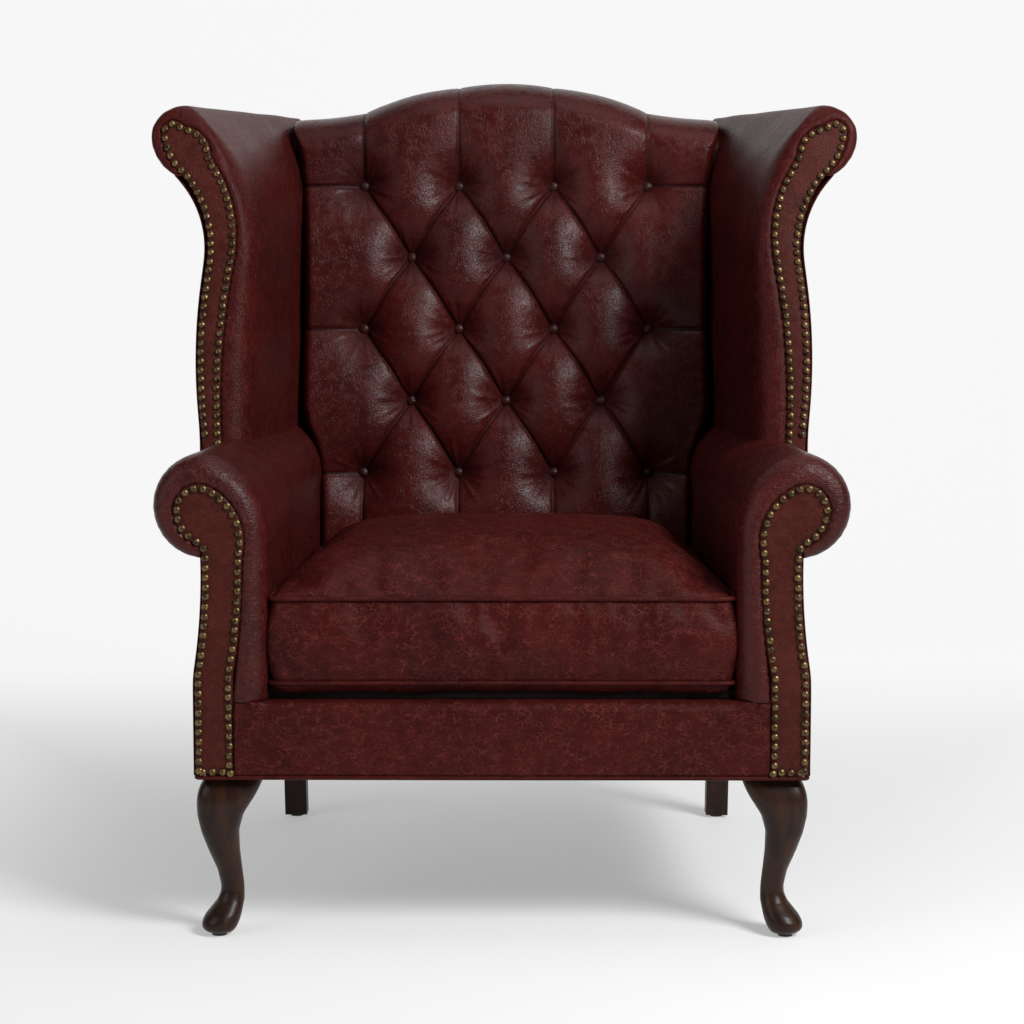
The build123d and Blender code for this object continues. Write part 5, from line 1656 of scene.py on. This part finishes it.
@dataclass
class SeatCushion:
    """Boxed seat cushion with a crowned top, piped along its top and bottom edges."""

    half_front: float = 281.0
    half_rear: float = 257.0
    front: float = 19.0
    rear: float = 540.0
    draw: float = 4.0
    corner: float = 16.0
    bulge: float = 5.0
    low: float = 315.0
    high: float = 418.0
    crown: float = 59.0
    bottom: float = 306.6
    deck_start: float = 37.2
    lip: tuple = ((0.0, 315.0), (0.3, 311.5), (1.4, 307.8), (3.4, 304.4), (6.4, 301.8), (9.6, 301.2), (12.4, 303.2),
                  (15.0, 306.6))
    piping: float = 2.9
    cells: int = 60
    pressure: float = 3.2
    frames: int = 18
    swell_cap: float = 0.009
    low_share: float = 0.2

    def plan(self, inset: float) -> np.ndarray:
        """Closed plan line, corners rounded and sides drawn in between them.

        Args:
            inset: distance inside the seam line.

        Returns:
            Points (x, y), the same number on each side, starting at the middle of the front left corner.
        """
        corners = trapezoid(self.half_front - inset, self.half_rear - inset, self.front + inset, self.rear - inset)
        rounds = rounded(corners, self.corner + 0.35 * max(inset, 0.0), 13)
        along = np.linspace(0, 1, 60)[1:-1, None]
        sides = []
        for i in range(4):
            start, end = rounds[i][-1], rounds[(i + 1) % 4][0]
            ahead = (end - start) / np.linalg.norm(end - start)
            drawn = np.array([-ahead[1], ahead[0]]) * self.draw * (1 - (2 * along - 1) ** 2)
            run = np.vstack([rounds[i][6:], start * (1 - along) + end * along + drawn, rounds[(i + 1) % 4][:7]])
            sides.append(resampled(run, self.cells + 1)[:-1])
        return np.vstack(sides)

    def sheet(self, loop: np.ndarray) -> np.ndarray:
        """Square grid of plan points inside a closed plan line.

        Args:
            loop: the plan line.

        Returns:
            Rows of points (x, y).
        """
        n = self.cells
        ring = np.vstack([loop, loop[:1]])
        front, right, back, left = (ring[i * n:(i + 1) * n + 1] for i in range(4))
        back, left = back[::-1], left[::-1]
        s, t = np.linspace(0, 1, n + 1)[None, :, None], np.linspace(0, 1, n + 1)[:, None, None]
        edges = front[None] * (1 - t) + back[None] * t + left[:, None] * (1 - s) + right[:, None] * s
        corners = (front[0] * (1 - s) * (1 - t) + front[-1] * s * (1 - t) + back[0] * (1 - s) * t + back[-1] * s * t)
        return edges - corners

    def shell(self) -> tuple[np.ndarray, list]:
        """Closed crowned form: flat bottom with a lip in front of the deck, boxed sides and crowned top.

        Returns:
            Points and faces, doubles on the seams included.
        """
        n = self.cells
        top = np.column_stack([self.sheet(self.plan(0.0)).reshape(-1, 2), self.high + self.crown_height()])
        under_plan = self.sheet(self.plan(self.lip[-1][0])).reshape(-1, 2)
        under = np.column_stack([under_plan, np.full(len(under_plan), self.bottom)])
        rings = []
        for inset, height in self.lip[::-1]:
            loop = self.plan(inset)
            ahead = 1.0 - smooth_share((loop[:, 1] - self.deck_start + 6.0) / 5.0)
            z = np.where(height < self.bottom, self.bottom + (height - self.bottom) * ahead, height)
            rings.append(np.column_stack([loop, z]))
        for share in np.linspace(0, 1, 11)[1:]:
            loop = self.plan(-self.bulge * math.sin(math.pi * share))
            rings.append(np.column_stack([loop, np.full(len(loop), mix(self.low, self.high, share))]))
        size = (n + 1) ** 2
        faces = grid_faces(n + 1, n + 1)
        faces += [tuple(size + i for i in reversed(face)) for face in grid_faces(n + 1, n + 1)]
        faces += [tuple(2 * size + i for i in face) for face in grid_faces(len(rings), 4 * n, closed=True)]
        return np.vstack([top, under, *rings]), faces

    def crown_height(self) -> np.ndarray:
        """Height of the crown above the top seam at every point of the sheet, none on the seam itself."""
        share = np.abs(2 * np.linspace(0, 1, self.cells + 1) - 1)
        across, along = np.meshgrid(share, share)
        rise = (1 - across ** 5.0) ** 0.72 * (1 - along ** 3.2) ** 0.72
        return self.crown * rise.ravel()

    def swollen(self, piece: bpy.types.Object) -> None:
        """Lets cloth pressure fill the cushion between its seams, then eases it back by a cap.

        Args:
            piece: cushion mesh in metres.
        """
        rest = np.array([v.co[:] for v in piece.data.vertices])
        seam = np.minimum(np.abs(rest[:, 2] - self.low / MM), np.abs(rest[:, 2] - self.high / MM))
        pins = piece.vertex_groups.new(name="seams")
        for index in np.nonzero(seam < 0.0012)[0]:
            pins.add([int(index)], 1.0, "REPLACE")
        cloth = piece.modifiers.new("swell", "CLOTH")
        for key, value in (
                ("quality", 6), ("mass", 0.4), ("tension_stiffness", 22.0), ("compression_stiffness", 22.0),
                ("shear_stiffness", 8.0), ("bending_stiffness", 1.6), ("use_pressure", True),
                ("uniform_pressure_force", self.pressure), ("shrink_min", -0.035), ("vertex_group_mass", "seams")):
            setattr(cloth.settings, key, value)
        cloth.settings.effector_weights.gravity = 0.0
        scene = bpy.context.scene
        for number in range(1, self.frames + 1):
            scene.frame_set(number)
        done = piece.evaluated_get(bpy.context.evaluated_depsgraph_get())
        push = np.array([v.co[:] for v in done.data.vertices]) - rest
        piece.modifiers.clear()
        piece.vertex_groups.clear()
        scene.frame_set(1)
        size = np.linalg.norm(push, axis=1, keepdims=True)
        push *= np.minimum(1.0, self.swell_cap / np.maximum(size, 1e-9))
        push[rest[:, 2] < self.low / MM + 0.001] *= self.low_share
        piece.data.vertices.foreach_set("co", (rest + push).ravel())
        piece.data.update()

    def build(self, finish: bpy.types.Material, piping_finish: bpy.types.Material) -> None:
        """Makes the cover and its two pipings.

        Args:
            finish: leather of the panels.
            piping_finish: leather of the pipings.
        """
        points, faces = self.shell()
        made = mesh_object("seat_cushion_hide", placed(points), faces, finish)
        weld(made)
        self.swollen(made)
        smooth = made.modifiers.new("finer", "SUBSURF")
        smooth.levels = smooth.render_levels = 1
        settled(made)
        made.data.shade_smooth()
        place = np.array([v.co[:] for v in made.data.vertices])
        x, y, z = (place[:, k] * MM for k in range(3))
        y = y - FRONT_PLANE_Y * MM
        top = smooth_share((z - self.high) / 12.0)
        wrinkle = 0.55 * ripple(y / 120 + x / 900, 31, 7, 1.0, 5.0) * (0.5 + 0.5 * ripple(x / 300, 32, 4, 1.0, 3.0))
        sit = 1.2 * ripple(x / 330 + y / 800, 33, 4, 0.7, 2.2) + 1.0 * ripple(y / 300 - x / 900, 34, 4, 0.7, 2.2)
        seam_gap = np.minimum(np.abs(z - self.high), np.abs(z - self.low))
        front_pull = np.exp(-((z - self.high) / 16.0) ** 2) * 0.4 * ripple(x / 75 + y / 400, 35, 7, 1.0, 4.0)
        place[:, 2] += top * (wrinkle + sit) / MM
        side = (z > self.low + 2) & (z < self.high - 2) & (y < self.front + 12)
        swell = 0.9 * ripple(x / 200 + z / 300, 36, 5, 0.7, 3.0) * np.sin(np.pi * (z - self.low) / 99)
        place[:, 1] += (np.where(side, swell, 0) + np.where(y < self.front + 40, 0.35 * front_pull, 0)) / MM
        made.data.vertices.foreach_set("co", place.ravel())
        # painted shade along the top and bottom seams, beside the pipings
        crease_shade = 0.5 * np.exp(-(seam_gap / 2.4) ** 2)
        for key, values in (("crease_shade", crease_shade), ("pull", np.zeros(len(place)))):
            layer = made.data.attributes.new(key, "FLOAT", "POINT")
            layer.data.foreach_set("value", values.astype(np.float32))
        made.data.update()
        weld(made)
        shown(made, "cushion", "leather", "cushion_cover", "cushion_core")
        for word, height in (("top", self.high), ("bottom", self.low)):
            loop = self.plan(-self.piping * 0.75)
            wander = 0.5 * ripple(np.linspace(0, 1, len(loop)), 51, 6, 1.0, 9.0)
            path = placed(np.column_stack([loop, height + wander]))
            pipe = tube("seat_piping_" + word, path, self.piping / MM, piping_finish, closed=True, lumps=0.03)
            shown(pipe, "cushion", "leather", "cushion_piping_" + word)


def stretched_cloth(name: str, points: np.ndarray, half: np.ndarray, ys: np.ndarray, thickness: float,
                    finish: bpy.types.Material, slot: str, *nodes: str) -> None:
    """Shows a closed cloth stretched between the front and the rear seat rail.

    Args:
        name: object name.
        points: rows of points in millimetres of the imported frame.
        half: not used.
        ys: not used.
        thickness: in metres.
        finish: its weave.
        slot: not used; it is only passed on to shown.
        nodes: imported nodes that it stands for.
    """
    made = mesh_object(name, points / MM, grid_faces(*points.shape[:2]), finish)
    thickened(made, thickness)
    shown(made, "chair", slot, *nodes)


@dataclass
class Base:
    """Front band, lower piping, outside back, platform cloth, dust sheet and the cabriole legs."""

    band_half: float = 323.7
    band_top: float = 294.0
    band_low: float = 204.2
    band_round: float = 13.0
    base_front: float = 372.0
    base_rear: float = 338.0
    depth: float = 676.4
    back_foot: float = 205.0
    back_top: float = 1068.0
    leg_width: float = 75.0
    leg_corner: tuple = (373.0, 7.0)
    leg_height: float = 205.7
    leg_table: tuple = (
        (1.0, 0.16, 1.08, 0.1), (0.965, 0.15, 1.08, 0.1), (0.93, 0.08, 1.06, 0.14), (0.88, 0.027, 1.0, 0.2),
        (0.84, 0.006, 0.94, 0.26), (0.802, 0.0, 0.87, 0.32), (0.73, 0.013, 0.747, 0.42), (0.632, 0.067, 0.673, 0.6),
        (0.51, 0.173, 0.68, 0.8), (0.389, 0.3, 0.707, 0.94), (0.292, 0.353, 0.733, 0.98), (0.25, 0.352, 0.736, 0.98),
        (0.205, 0.3, 0.738, 0.98), (0.165, 0.21, 0.72, 0.98), (0.125, 0.115, 0.70, 0.98), (0.09, 0.065, 0.675, 0.98),
        (0.06, 0.055, 0.64, 0.98), (0.04, 0.075, 0.61, 0.98), (0.024, 0.13, 0.57, 0.98))

    def front_band(self, finish: bpy.types.Material) -> None:
        """Leather band over the front rail, turning over the padded top edge.

        Args:
            finish: leather.
        """
        profile = [(0.8, self.band_low + share * (self.band_top - self.band_round - self.band_low))
                   for share in np.linspace(0, 1, 20)]
        for angle in np.radians(np.linspace(8, 90, 10)):
            profile.append((0.8 + self.band_round * (1 - math.cos(angle)),
                            self.band_top - self.band_round + self.band_round * math.sin(angle)))
        profile += [(20.0, self.band_top), (28.0, self.band_top - 0.4), (36.0, self.band_top - 0.8)]
        line = np.array(profile)
        across = np.linspace(-self.band_half, self.band_half, 241)
        x = np.repeat(across[None, :], len(line), axis=0)
        y = np.repeat(line[:, :1], len(across), axis=1)
        z = np.repeat(line[:, 1:], len(across), axis=1)
        flush = smooth_share((np.abs(x) - 281.0) / 12.0) * (z > self.band_top - self.band_round - 0.01) * (y < 20.0)
        y = y * (1 - flush * 0.85) + flush * 0.6
        belly = np.sin(np.pi * np.clip((z - self.band_low) / 78.0, 0, 1))
        y = y + (0.5 * ripple(x / 420 + z / 260, 61, 5, 0.6, 3.0) - 1.2) * belly * 0.6
        side = self.band_half - np.abs(x)
        fold = np.exp(-(((side - 20.7) * 0.8 - (self.band_top - 11.0 - z) * 0.6) / 1.6) ** 2)
        fold = fold * smooth_share((side + 2) / 10) * smooth_share((z - 262.0) / 14.0) * smooth_share((30 - side) / 8)
        y = y + fold * 1.3
        # painted shade in the mitre fold near each end, and along the band's ends
        crease_shade = 0.7 * fold + 0.6 * np.exp(-(side / 2.5) ** 2)
        made = lattice("front_band_hide", np.stack([x, y, z], axis=-1), finish, crease_shade)
        thickened(made, LEATHER)
        shown(made, "chair", "leather", "front_border", "front_edge_pad")

    def outline(self, inset: float) -> np.ndarray:
        """Closed plan of the base, corners rounded.

        Args:
            inset: distance inside the faces.

        Returns:
            Points (x, y).
        """
        rounds = rounded(trapezoid(self.base_front - inset, self.base_rear - inset, inset, self.depth - inset), 8.0, 8)
        line: list[np.ndarray] = []
        for i in range(4):
            far, end = rounds[i][-1], rounds[(i + 1) % 4][0]
            line += [rounds[i], far + (end - far) * np.linspace(0, 1, 70)[1:-1, None]]
        return np.vstack(line)

    def piping(self, finish: bpy.types.Material) -> None:
        """Thin piped band round the lower edge.

        Args:
            finish: leather.
        """
        loop = self.outline(1.6)
        path = placed(np.column_stack([loop, 201.8 + 0.25 * ripple(np.linspace(0, 1, len(loop)), 63, 6, 1, 9)]))
        shown(tube("base_piping_hide", path, 0.0026, finish, closed=True), "chair", "leather", "base_piping")

    def outside_back(self, finish: bpy.types.Material, piping_finish: bpy.types.Material) -> None:
        """Panel over the back, slightly padded, with a piped seam on both sides and the top.

        Args:
            finish: leather of the panel.
            piping_finish: leather of the piping.
        """
        foot, top = self.back_foot, self.back_top
        levels = np.concatenate([np.linspace(foot, HIP_Z, 12), np.linspace(HIP_Z, top, 90)[1:]])
        half_of = np.interp(levels, [204, 300, 590, 593, 1000, 1030], [336, 336.5, 334.5, 335, 336.5, 336])
        crest = ButtonedBack().crest
        across = np.linspace(-1, 1, 91)
        x = across[None, :] * half_of[:, None]
        limit = crest(x) - 10.0
        z = foot + ((levels - foot) / (top - foot))[:, None] * (limit - foot)
        inside = (1 - np.abs(across))[None, :] * half_of[:, None]
        soft = np.sqrt(np.clip(1 - (1 - np.minimum(1, inside / 26)) ** 2, 0, 1)) * smooth_share((limit - z) / 30 + 0.15)
        bow = 2.4 * np.cos(np.pi * x / 2 / 340) * np.sin(np.pi * np.clip((z - foot) / 850, 0, 1))
        wave = 0.5 * ripple(x / 330 + z / 420, 65, 5, 0.6, 2.4)
        rear = frame_y(np.maximum(z, HIP_Z)) + FRAME_REAR - 1.5 + 3.2 * soft + bow + wave
        edged = np.pad(np.stack([x, rear, z], axis=-1), ((1, 1), (1, 1), (0, 0)), "edge")
        border = np.ones(edged.shape[:2])
        border[1:-1, 1:-1] = 0.0
        edged[..., 1] -= border * 4.0
        # painted shade along both side edges, beside the piped seams
        crease_shade = np.pad(0.8 * np.exp(-(inside / 4) ** 2) + 0 * z, 1, "edge")
        made = lattice("outside_back_hide", edged, finish, crease_shade, flip=True)
        thickened(made, 0.002)
        shown(made, "chair", "leather", "outside_back")
        side = np.column_stack([half_of + 0.6, frame_y(np.maximum(z[:, -1], HIP_Z)) + FRAME_REAR - 1.0, z[:, -1]])
        right = side[:-1]
        top_x = np.linspace(right[-1][0] - 6, -right[-1][0] + 6, 80)
        top_z = crest(top_x) - 9.0
        top = np.column_stack([top_x, frame_y(top_z) + FRAME_REAR, top_z])
        left = right[::-1] * np.array([-1, 1, 1])
        path = softened(np.vstack([right, top, left]), 6)
        pipe = tube("outside_back_piping", placed(path), 0.0027, piping_finish, lumps=0.03)
        shown(pipe, "chair", "leather")

    def deck(self, finish: bpy.types.Material) -> None:
        """Platform cloth under the cushion, turned down at the front.

        Args:
            finish: its weave.
        """
        low, high = np.array(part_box("deck_cover")) * MM
        ys, across = np.linspace(low[1], high[1], 49), np.linspace(-1, 1, 57)
        half = np.interp(ys, [ys[0], ys[-1]], [high[0] - 1.0, high[0] - 23.0])
        x = across[None, :] * half[:, None]
        y = np.repeat(ys[:, None], len(across), axis=1)
        z = high[2] - 0.6 + 0.5 * ripple(x / 260 + y / 330, 71, 5, 0.7, 3.0) * (1 - across[None, :] ** 2)
        front = [np.column_stack([x[0], np.full(len(across), low[1] - ahead), z[0] - drop])
                 for drop, ahead in ((12.2, 1.0), (7.0, 1.0), (2.2, 0.8))]
        points = np.concatenate([np.stack(front), np.stack([x, y, z], axis=-1)])
        stretched_cloth("platform_cloth", points, half, ys, 0.001, finish, "deck_cloth", "deck_cover", "deck_pad")

    def dust_sheet(self, finish: bpy.types.Material) -> None:
        """Thin sheet under the seat, its plan notched round the legs.

        Args:
            finish: its weave.
        """
        low, high = np.array(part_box("dust_cover")) * MM
        bends = np.array([low[1] + 0.3, low[1] + 80.6, low[1] + 81.8, low[1] + 627.2, low[1] + 628.4, high[1] - 0.3])
        ys = np.sort(np.concatenate([bends, np.linspace(low[1] + 8.0, high[1] - 8.0, 60)]))
        half, across = np.interp(ys, bends, [290.3, 290.3, 364.6, 337.8, 295.2, 295.2]), np.linspace(-1, 1, 57)
        x = across[None, :] * half[:, None]
        y = np.repeat(ys[:, None], len(across), axis=1)
        sag = 2.2 * np.cos(np.pi * across[None, :] / 2) * np.sin(np.pi * (ys - ys[0]) / (ys[-1] - ys[0]))[:, None]
        z = low[2] + 0.9 - sag * 0.25 + 0.35 * ripple(x / 300 + y / 240, 73, 5, 0.7, 3.0) * (1 - across[None, :] ** 2)
        points = np.stack([x, y, z], axis=-1)
        stretched_cloth("dust_sheet", points, half, ys, 0.0006, finish, "dust_cloth", "dust_cover")

    def leg(self, side: Side, finish: bpy.types.Material) -> None:
        """Cabriole leg: square block, round knee, slim ankle and a pad foot.

        Args:
            side: which side of the chair.
            finish: wood.
        """
        table = np.array(self.leg_table)
        heights = table[:, 0]
        fine = np.concatenate([np.linspace(1.0, 0.93, 6), np.linspace(0.92, 0.2, 62), np.linspace(0.193, 0.024, 34)])
        order = np.argsort(heights)
        columns = [np.interp(fine, heights[order], table[order, k]) for k in range(1, 4)]
        kernel = np.array([1, 4, 6, 4, 1]) / 16
        columns = [np.concatenate([c[:2], np.convolve(c, kernel, "valid"), c[-2:]]) for c in columns]
        outer, inner, roundness = columns
        width, (knee_x, knee_y), height = self.leg_width, self.leg_corner, self.leg_height
        turns = np.linspace(0, 2 * np.pi, 48, endpoint=False)
        rings = []
        for z_share, a, b, soft in zip(fine, outer, inner, roundness):
            half, middle = (b - a) / 2 * width, (a + b) / 2 * width
            power = 2.0 / (0.24 + 0.76 * soft)
            cos, sin = np.cos(turns), np.sin(turns)
            reach = (np.abs(cos) ** power + np.abs(sin) ** power) ** (-1 / power)
            x = knee_x - middle + half * reach * cos
            y = knee_y + middle + half * reach * sin
            rings.append(np.column_stack([x, y, np.full(len(turns), height * z_share)]))
        points = np.stack(rings)
        count = len(turns)
        faces = grid_faces(len(rings), count, closed=True)
        faces.append(tuple(range(count)))
        faces.append(tuple((len(rings) - 1) * count + i for i in reversed(range(count))))
        made = mesh_object(side.word + "_cabriole_leg", placed(points, side), faces, finish)
        weld(made)
        shade_by_angle(made, 40.0)
        shown(made, "chair", "mahogany", side.word + "_front_leg")


def shade_by_angle(piece: bpy.types.Object, degrees: float) -> None:
    """Smooth shading with sharp edges above an angle.

    Args:
        piece: mesh object.
        degrees: the angle.
    """
    work = bmesh.new()
    work.from_mesh(piece.data)
    limit = math.radians(degrees)
    for face in work.faces:
        face.smooth = True
    for edge in work.edges:
        edge.smooth = edge.is_manifold and edge.calc_face_angle(0.0) < limit
    work.to_mesh(piece.data)
    work.free()


# ---------------------------------------------------------------- carried-over timber, cloth and metal


def dress_frame(finishes: Finishes) -> None:
    """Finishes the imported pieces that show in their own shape.

    Args:
        finishes: the finishes.
    """
    wanted = (("back_upright", finishes.stained), ("rail", finishes.beech), ("post", finishes.beech),
              ("block", finishes.beech), ("web", finishes.webbing), ("hessian", finishes.hessian),
              ("bolt", finishes.steel), ("glide", finishes.nylon), ("zip", finishes.brass))
    for node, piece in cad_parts.items():
        finish = next((finish for word, finish in wanted if word in node), None)
        if finish is not None and piece.type == "MESH":
            for slot in piece.material_slots:
                slot.material = finish


# ---------------------------------------------------------------- room and camera


@dataclass(frozen=True)
class Studio:
    """Pale floor that curves up behind, soft lamps, and the photograph's camera.

    Each lamp is a name, its place, the point that it faces, its size in metres and its power in watts.
    """

    paper_glow: float = 0.36
    far_glow: float = 0.55
    floor_front: float = -3.2
    bend_start: float = 2.2
    bend_radius: float = 1.3
    wall_top: float = 4.5
    half_width: float = 5.0
    lamps: tuple = (
        ("key_softbox", (1.9, -2.2, 2.5), (0.0, 0.0, 0.6), 1.2, 128.0),
        ("fill_softbox", (-2.4, -1.9, 1.6), (0.0, 0.0, 0.6), 1.8, 20.0),
        ("top_softbox", (0.2, -0.1, 2.9), (0.0, -0.05, 0.6), 1.5, 12.0))
    world: float = 0.12
    sensor: float = 36.0
    focal_length: float = 87.89
    eye: tuple = (0.03, -2.97, 0.835)
    pitch: float = 84.05
    yaw: float = 0.34

    def backdrop(self) -> None:
        """Seamless floor and wall; seen directly it is near white, and it keeps the shadow."""
        g = Graph("paper_sweep")
        path = g.node("ShaderNodeLightPath")
        camera, glossy, passing = (Wire(g, path.outputs[f"Is {kind} Ray"])
                                   for kind in ("Camera", "Glossy", "Transmission"))
        seen = g.math("MAXIMUM", g.math("MAXIMUM", camera, glossy), passing)
        paper = g.node("ShaderNodeBsdfPrincipled", Base_Color=(0.90, 0.90, 0.90, 1.0), Roughness=0.9)
        glow = g.node("ShaderNodeEmission", Color=(0.975, 0.975, 0.975, 1.0), Strength=1.0)
        blend = g.node("ShaderNodeMixShader")
        apart = g.node("ShaderNodeSeparateXYZ", Vector=g.coordinates())
        # painted light: the floor glows less near the chair, where the real shadow shows, and more further away, so the
        # floor and wall whiten with distance
        far = g.math("MAXIMUM", Wire(g, apart.outputs[1]).step(0.2, 1.7),
                     g.math("ABSOLUTE", Wire(g, apart.outputs[0])).step(0.45, 1.3))
        g.feed(blend, 0, seen * (self.paper_glow + far * self.far_glow))
        g.tree.links.new(paper.outputs[0], blend.inputs[1])
        g.tree.links.new(glow.outputs[0], blend.inputs[2])
        material = g.finish(blend)
        profile = [(y, 0.0) for y in (self.floor_front, -1.5, 0.0, 1.4, self.bend_start)]
        for angle in np.radians(np.linspace(10, 90, 12)):
            along, up = self.bend_radius * math.sin(angle), self.bend_radius * (1 - math.cos(angle))
            profile.append((self.bend_start + along, up))
        profile.append((self.bend_start + self.bend_radius, self.wall_top))
        across = np.linspace(-self.half_width, self.half_width, 15)
        rows = np.array([[(x, y, z) for x in across] for y, z in profile])
        sweep = mesh_object("paper_sweep", rows, grid_faces(len(profile), 15), material)

    def lamp(self, name: str, place: Sequence[float], target: Sequence[float], size: float, power: float) -> None:
        """Adds a square softbox.

        Args:
            name: lamp name.
            place: position in metres.
            target: point it faces.
            size: side in metres.
            power: in watts.
        """
        light = bpy.data.lights.new(name, "AREA")
        light.shape = "SQUARE"
        light.size = size
        light.energy = power
        holder = bpy.data.objects.new(name, light)
        holder.location = place
        aim = mathutils.Vector(target) - mathutils.Vector(place)
        holder.rotation_euler = aim.to_track_quat("-Z", "Y").to_euler()
        bpy.context.scene.collection.objects.link(holder)

    def light(self) -> None:
        """Key from the upper right front, fill from the left, top light, low white world."""
        for lamp in self.lamps:
            self.lamp(*lamp)
        world = bpy.data.worlds.new("studio_air")
        bpy.context.scene.world = world
        world.use_nodes = True
        world.node_tree.nodes["Background"].inputs[0].default_value = (1.0, 1.0, 1.0, 1.0)
        world.node_tree.nodes["Background"].inputs[1].default_value = self.world

    def camera(self) -> None:
        """The photograph's viewpoint."""
        lens = bpy.data.cameras.new("photo_view")
        lens.sensor_width = self.sensor
        lens.lens = self.focal_length
        holder = bpy.data.objects.new("photo_view", lens)
        holder.location = (self.eye[0], self.eye[1] + FRONT_PLANE_Y, self.eye[2])
        holder.rotation_euler = (math.radians(self.pitch), 0.0, math.radians(self.yaw))
        bpy.context.scene.collection.objects.link(holder)
        bpy.context.scene.camera = holder


def nail_path(loop: np.ndarray, lowest: float, stand: Callable[[np.ndarray, np.ndarray], np.ndarray],
              side: Side) -> np.ndarray:
    """Path of a row of nails, in metres.

    Args:
        loop: points (x, z) that the row follows.
        lowest: height that the row starts above.
        stand: facing points and depths to x, y, z.
        side: which side of the chair.

    Returns:
        Array of points.
    """
    line = resampled(softened(loop, 2), 700)
    line = line[line[:, 1] > lowest]
    return placed(stand(line, np.full(len(line), NAIL_SINK)), side)


def front_side(side: Side, finishes: Finishes, nails: NailTrim, trim: bpy.types.NodeTree) -> None:
    """Builds one side's arm and wing with their facings and nails.

    Args:
        side: which side of the chair.
        finishes: the finishes.
        nails: sizes of the nails.
        trim: their node tree.
    """
    for form, word, stand, tilt, hide in (
            (ScrollArm(side), "arm", arm_stand, math.pi / 2, finishes.arm_hide),
            (FlaredWing(side), "wing", wing_stand, math.pi / 2 - math.atan(LEAN), finishes.wing_hide)):
        form.cover(hide)
        form.outside(finishes.hide)
        outline = form.facing_outline()
        Facing(side, word, outline, stand).build(finishes.facing_hide)
        if word == "arm":
            even = resampled(np.vstack([outline, outline[:1]]), 500)[:-1]
            inner = inset_loop(even, NAIL_INSET)
            path = nail_path(np.vstack([inner, inner[:1]]), 0.0, stand, side)
        else:
            path = nail_path(inset_loop(outline, NAIL_INSET)[1:-1], WING_NAILS_FOOT, stand, side)
        nails.along(f"{side.word}_{word}_nails", path, tilt, trim)


def main() -> None:
    """Builds the chair piece by piece, then the room."""
    bpy.context.scene.view_settings.view_transform = "Standard"
    studio = Studio()
    studio.camera()
    finishes = Finishes()
    nails = NailTrim()
    trim = nails.tree(finishes.brass)
    for side in Side:
        front_side(side, finishes, nails, trim)
    back = ButtonedBack()
    back.cover(finishes.buttoned_hide)
    back.button_set(finishes.button_hide)
    SeatCushion().build(finishes.seat_hide, finishes.hide)
    base = Base()
    base.front_band(finishes.seat_hide)
    base.piping(finishes.hide)
    base.outside_back(finishes.seat_hide, finishes.hide)
    base.deck(finishes.platform)
    base.dust_sheet(finishes.dust)
    for side in Side:
        base.leg(side, finishes.mahogany)
    dress_frame(finishes)
    studio.backdrop()
    studio.light()


if __name__ == "__main__":
    main()
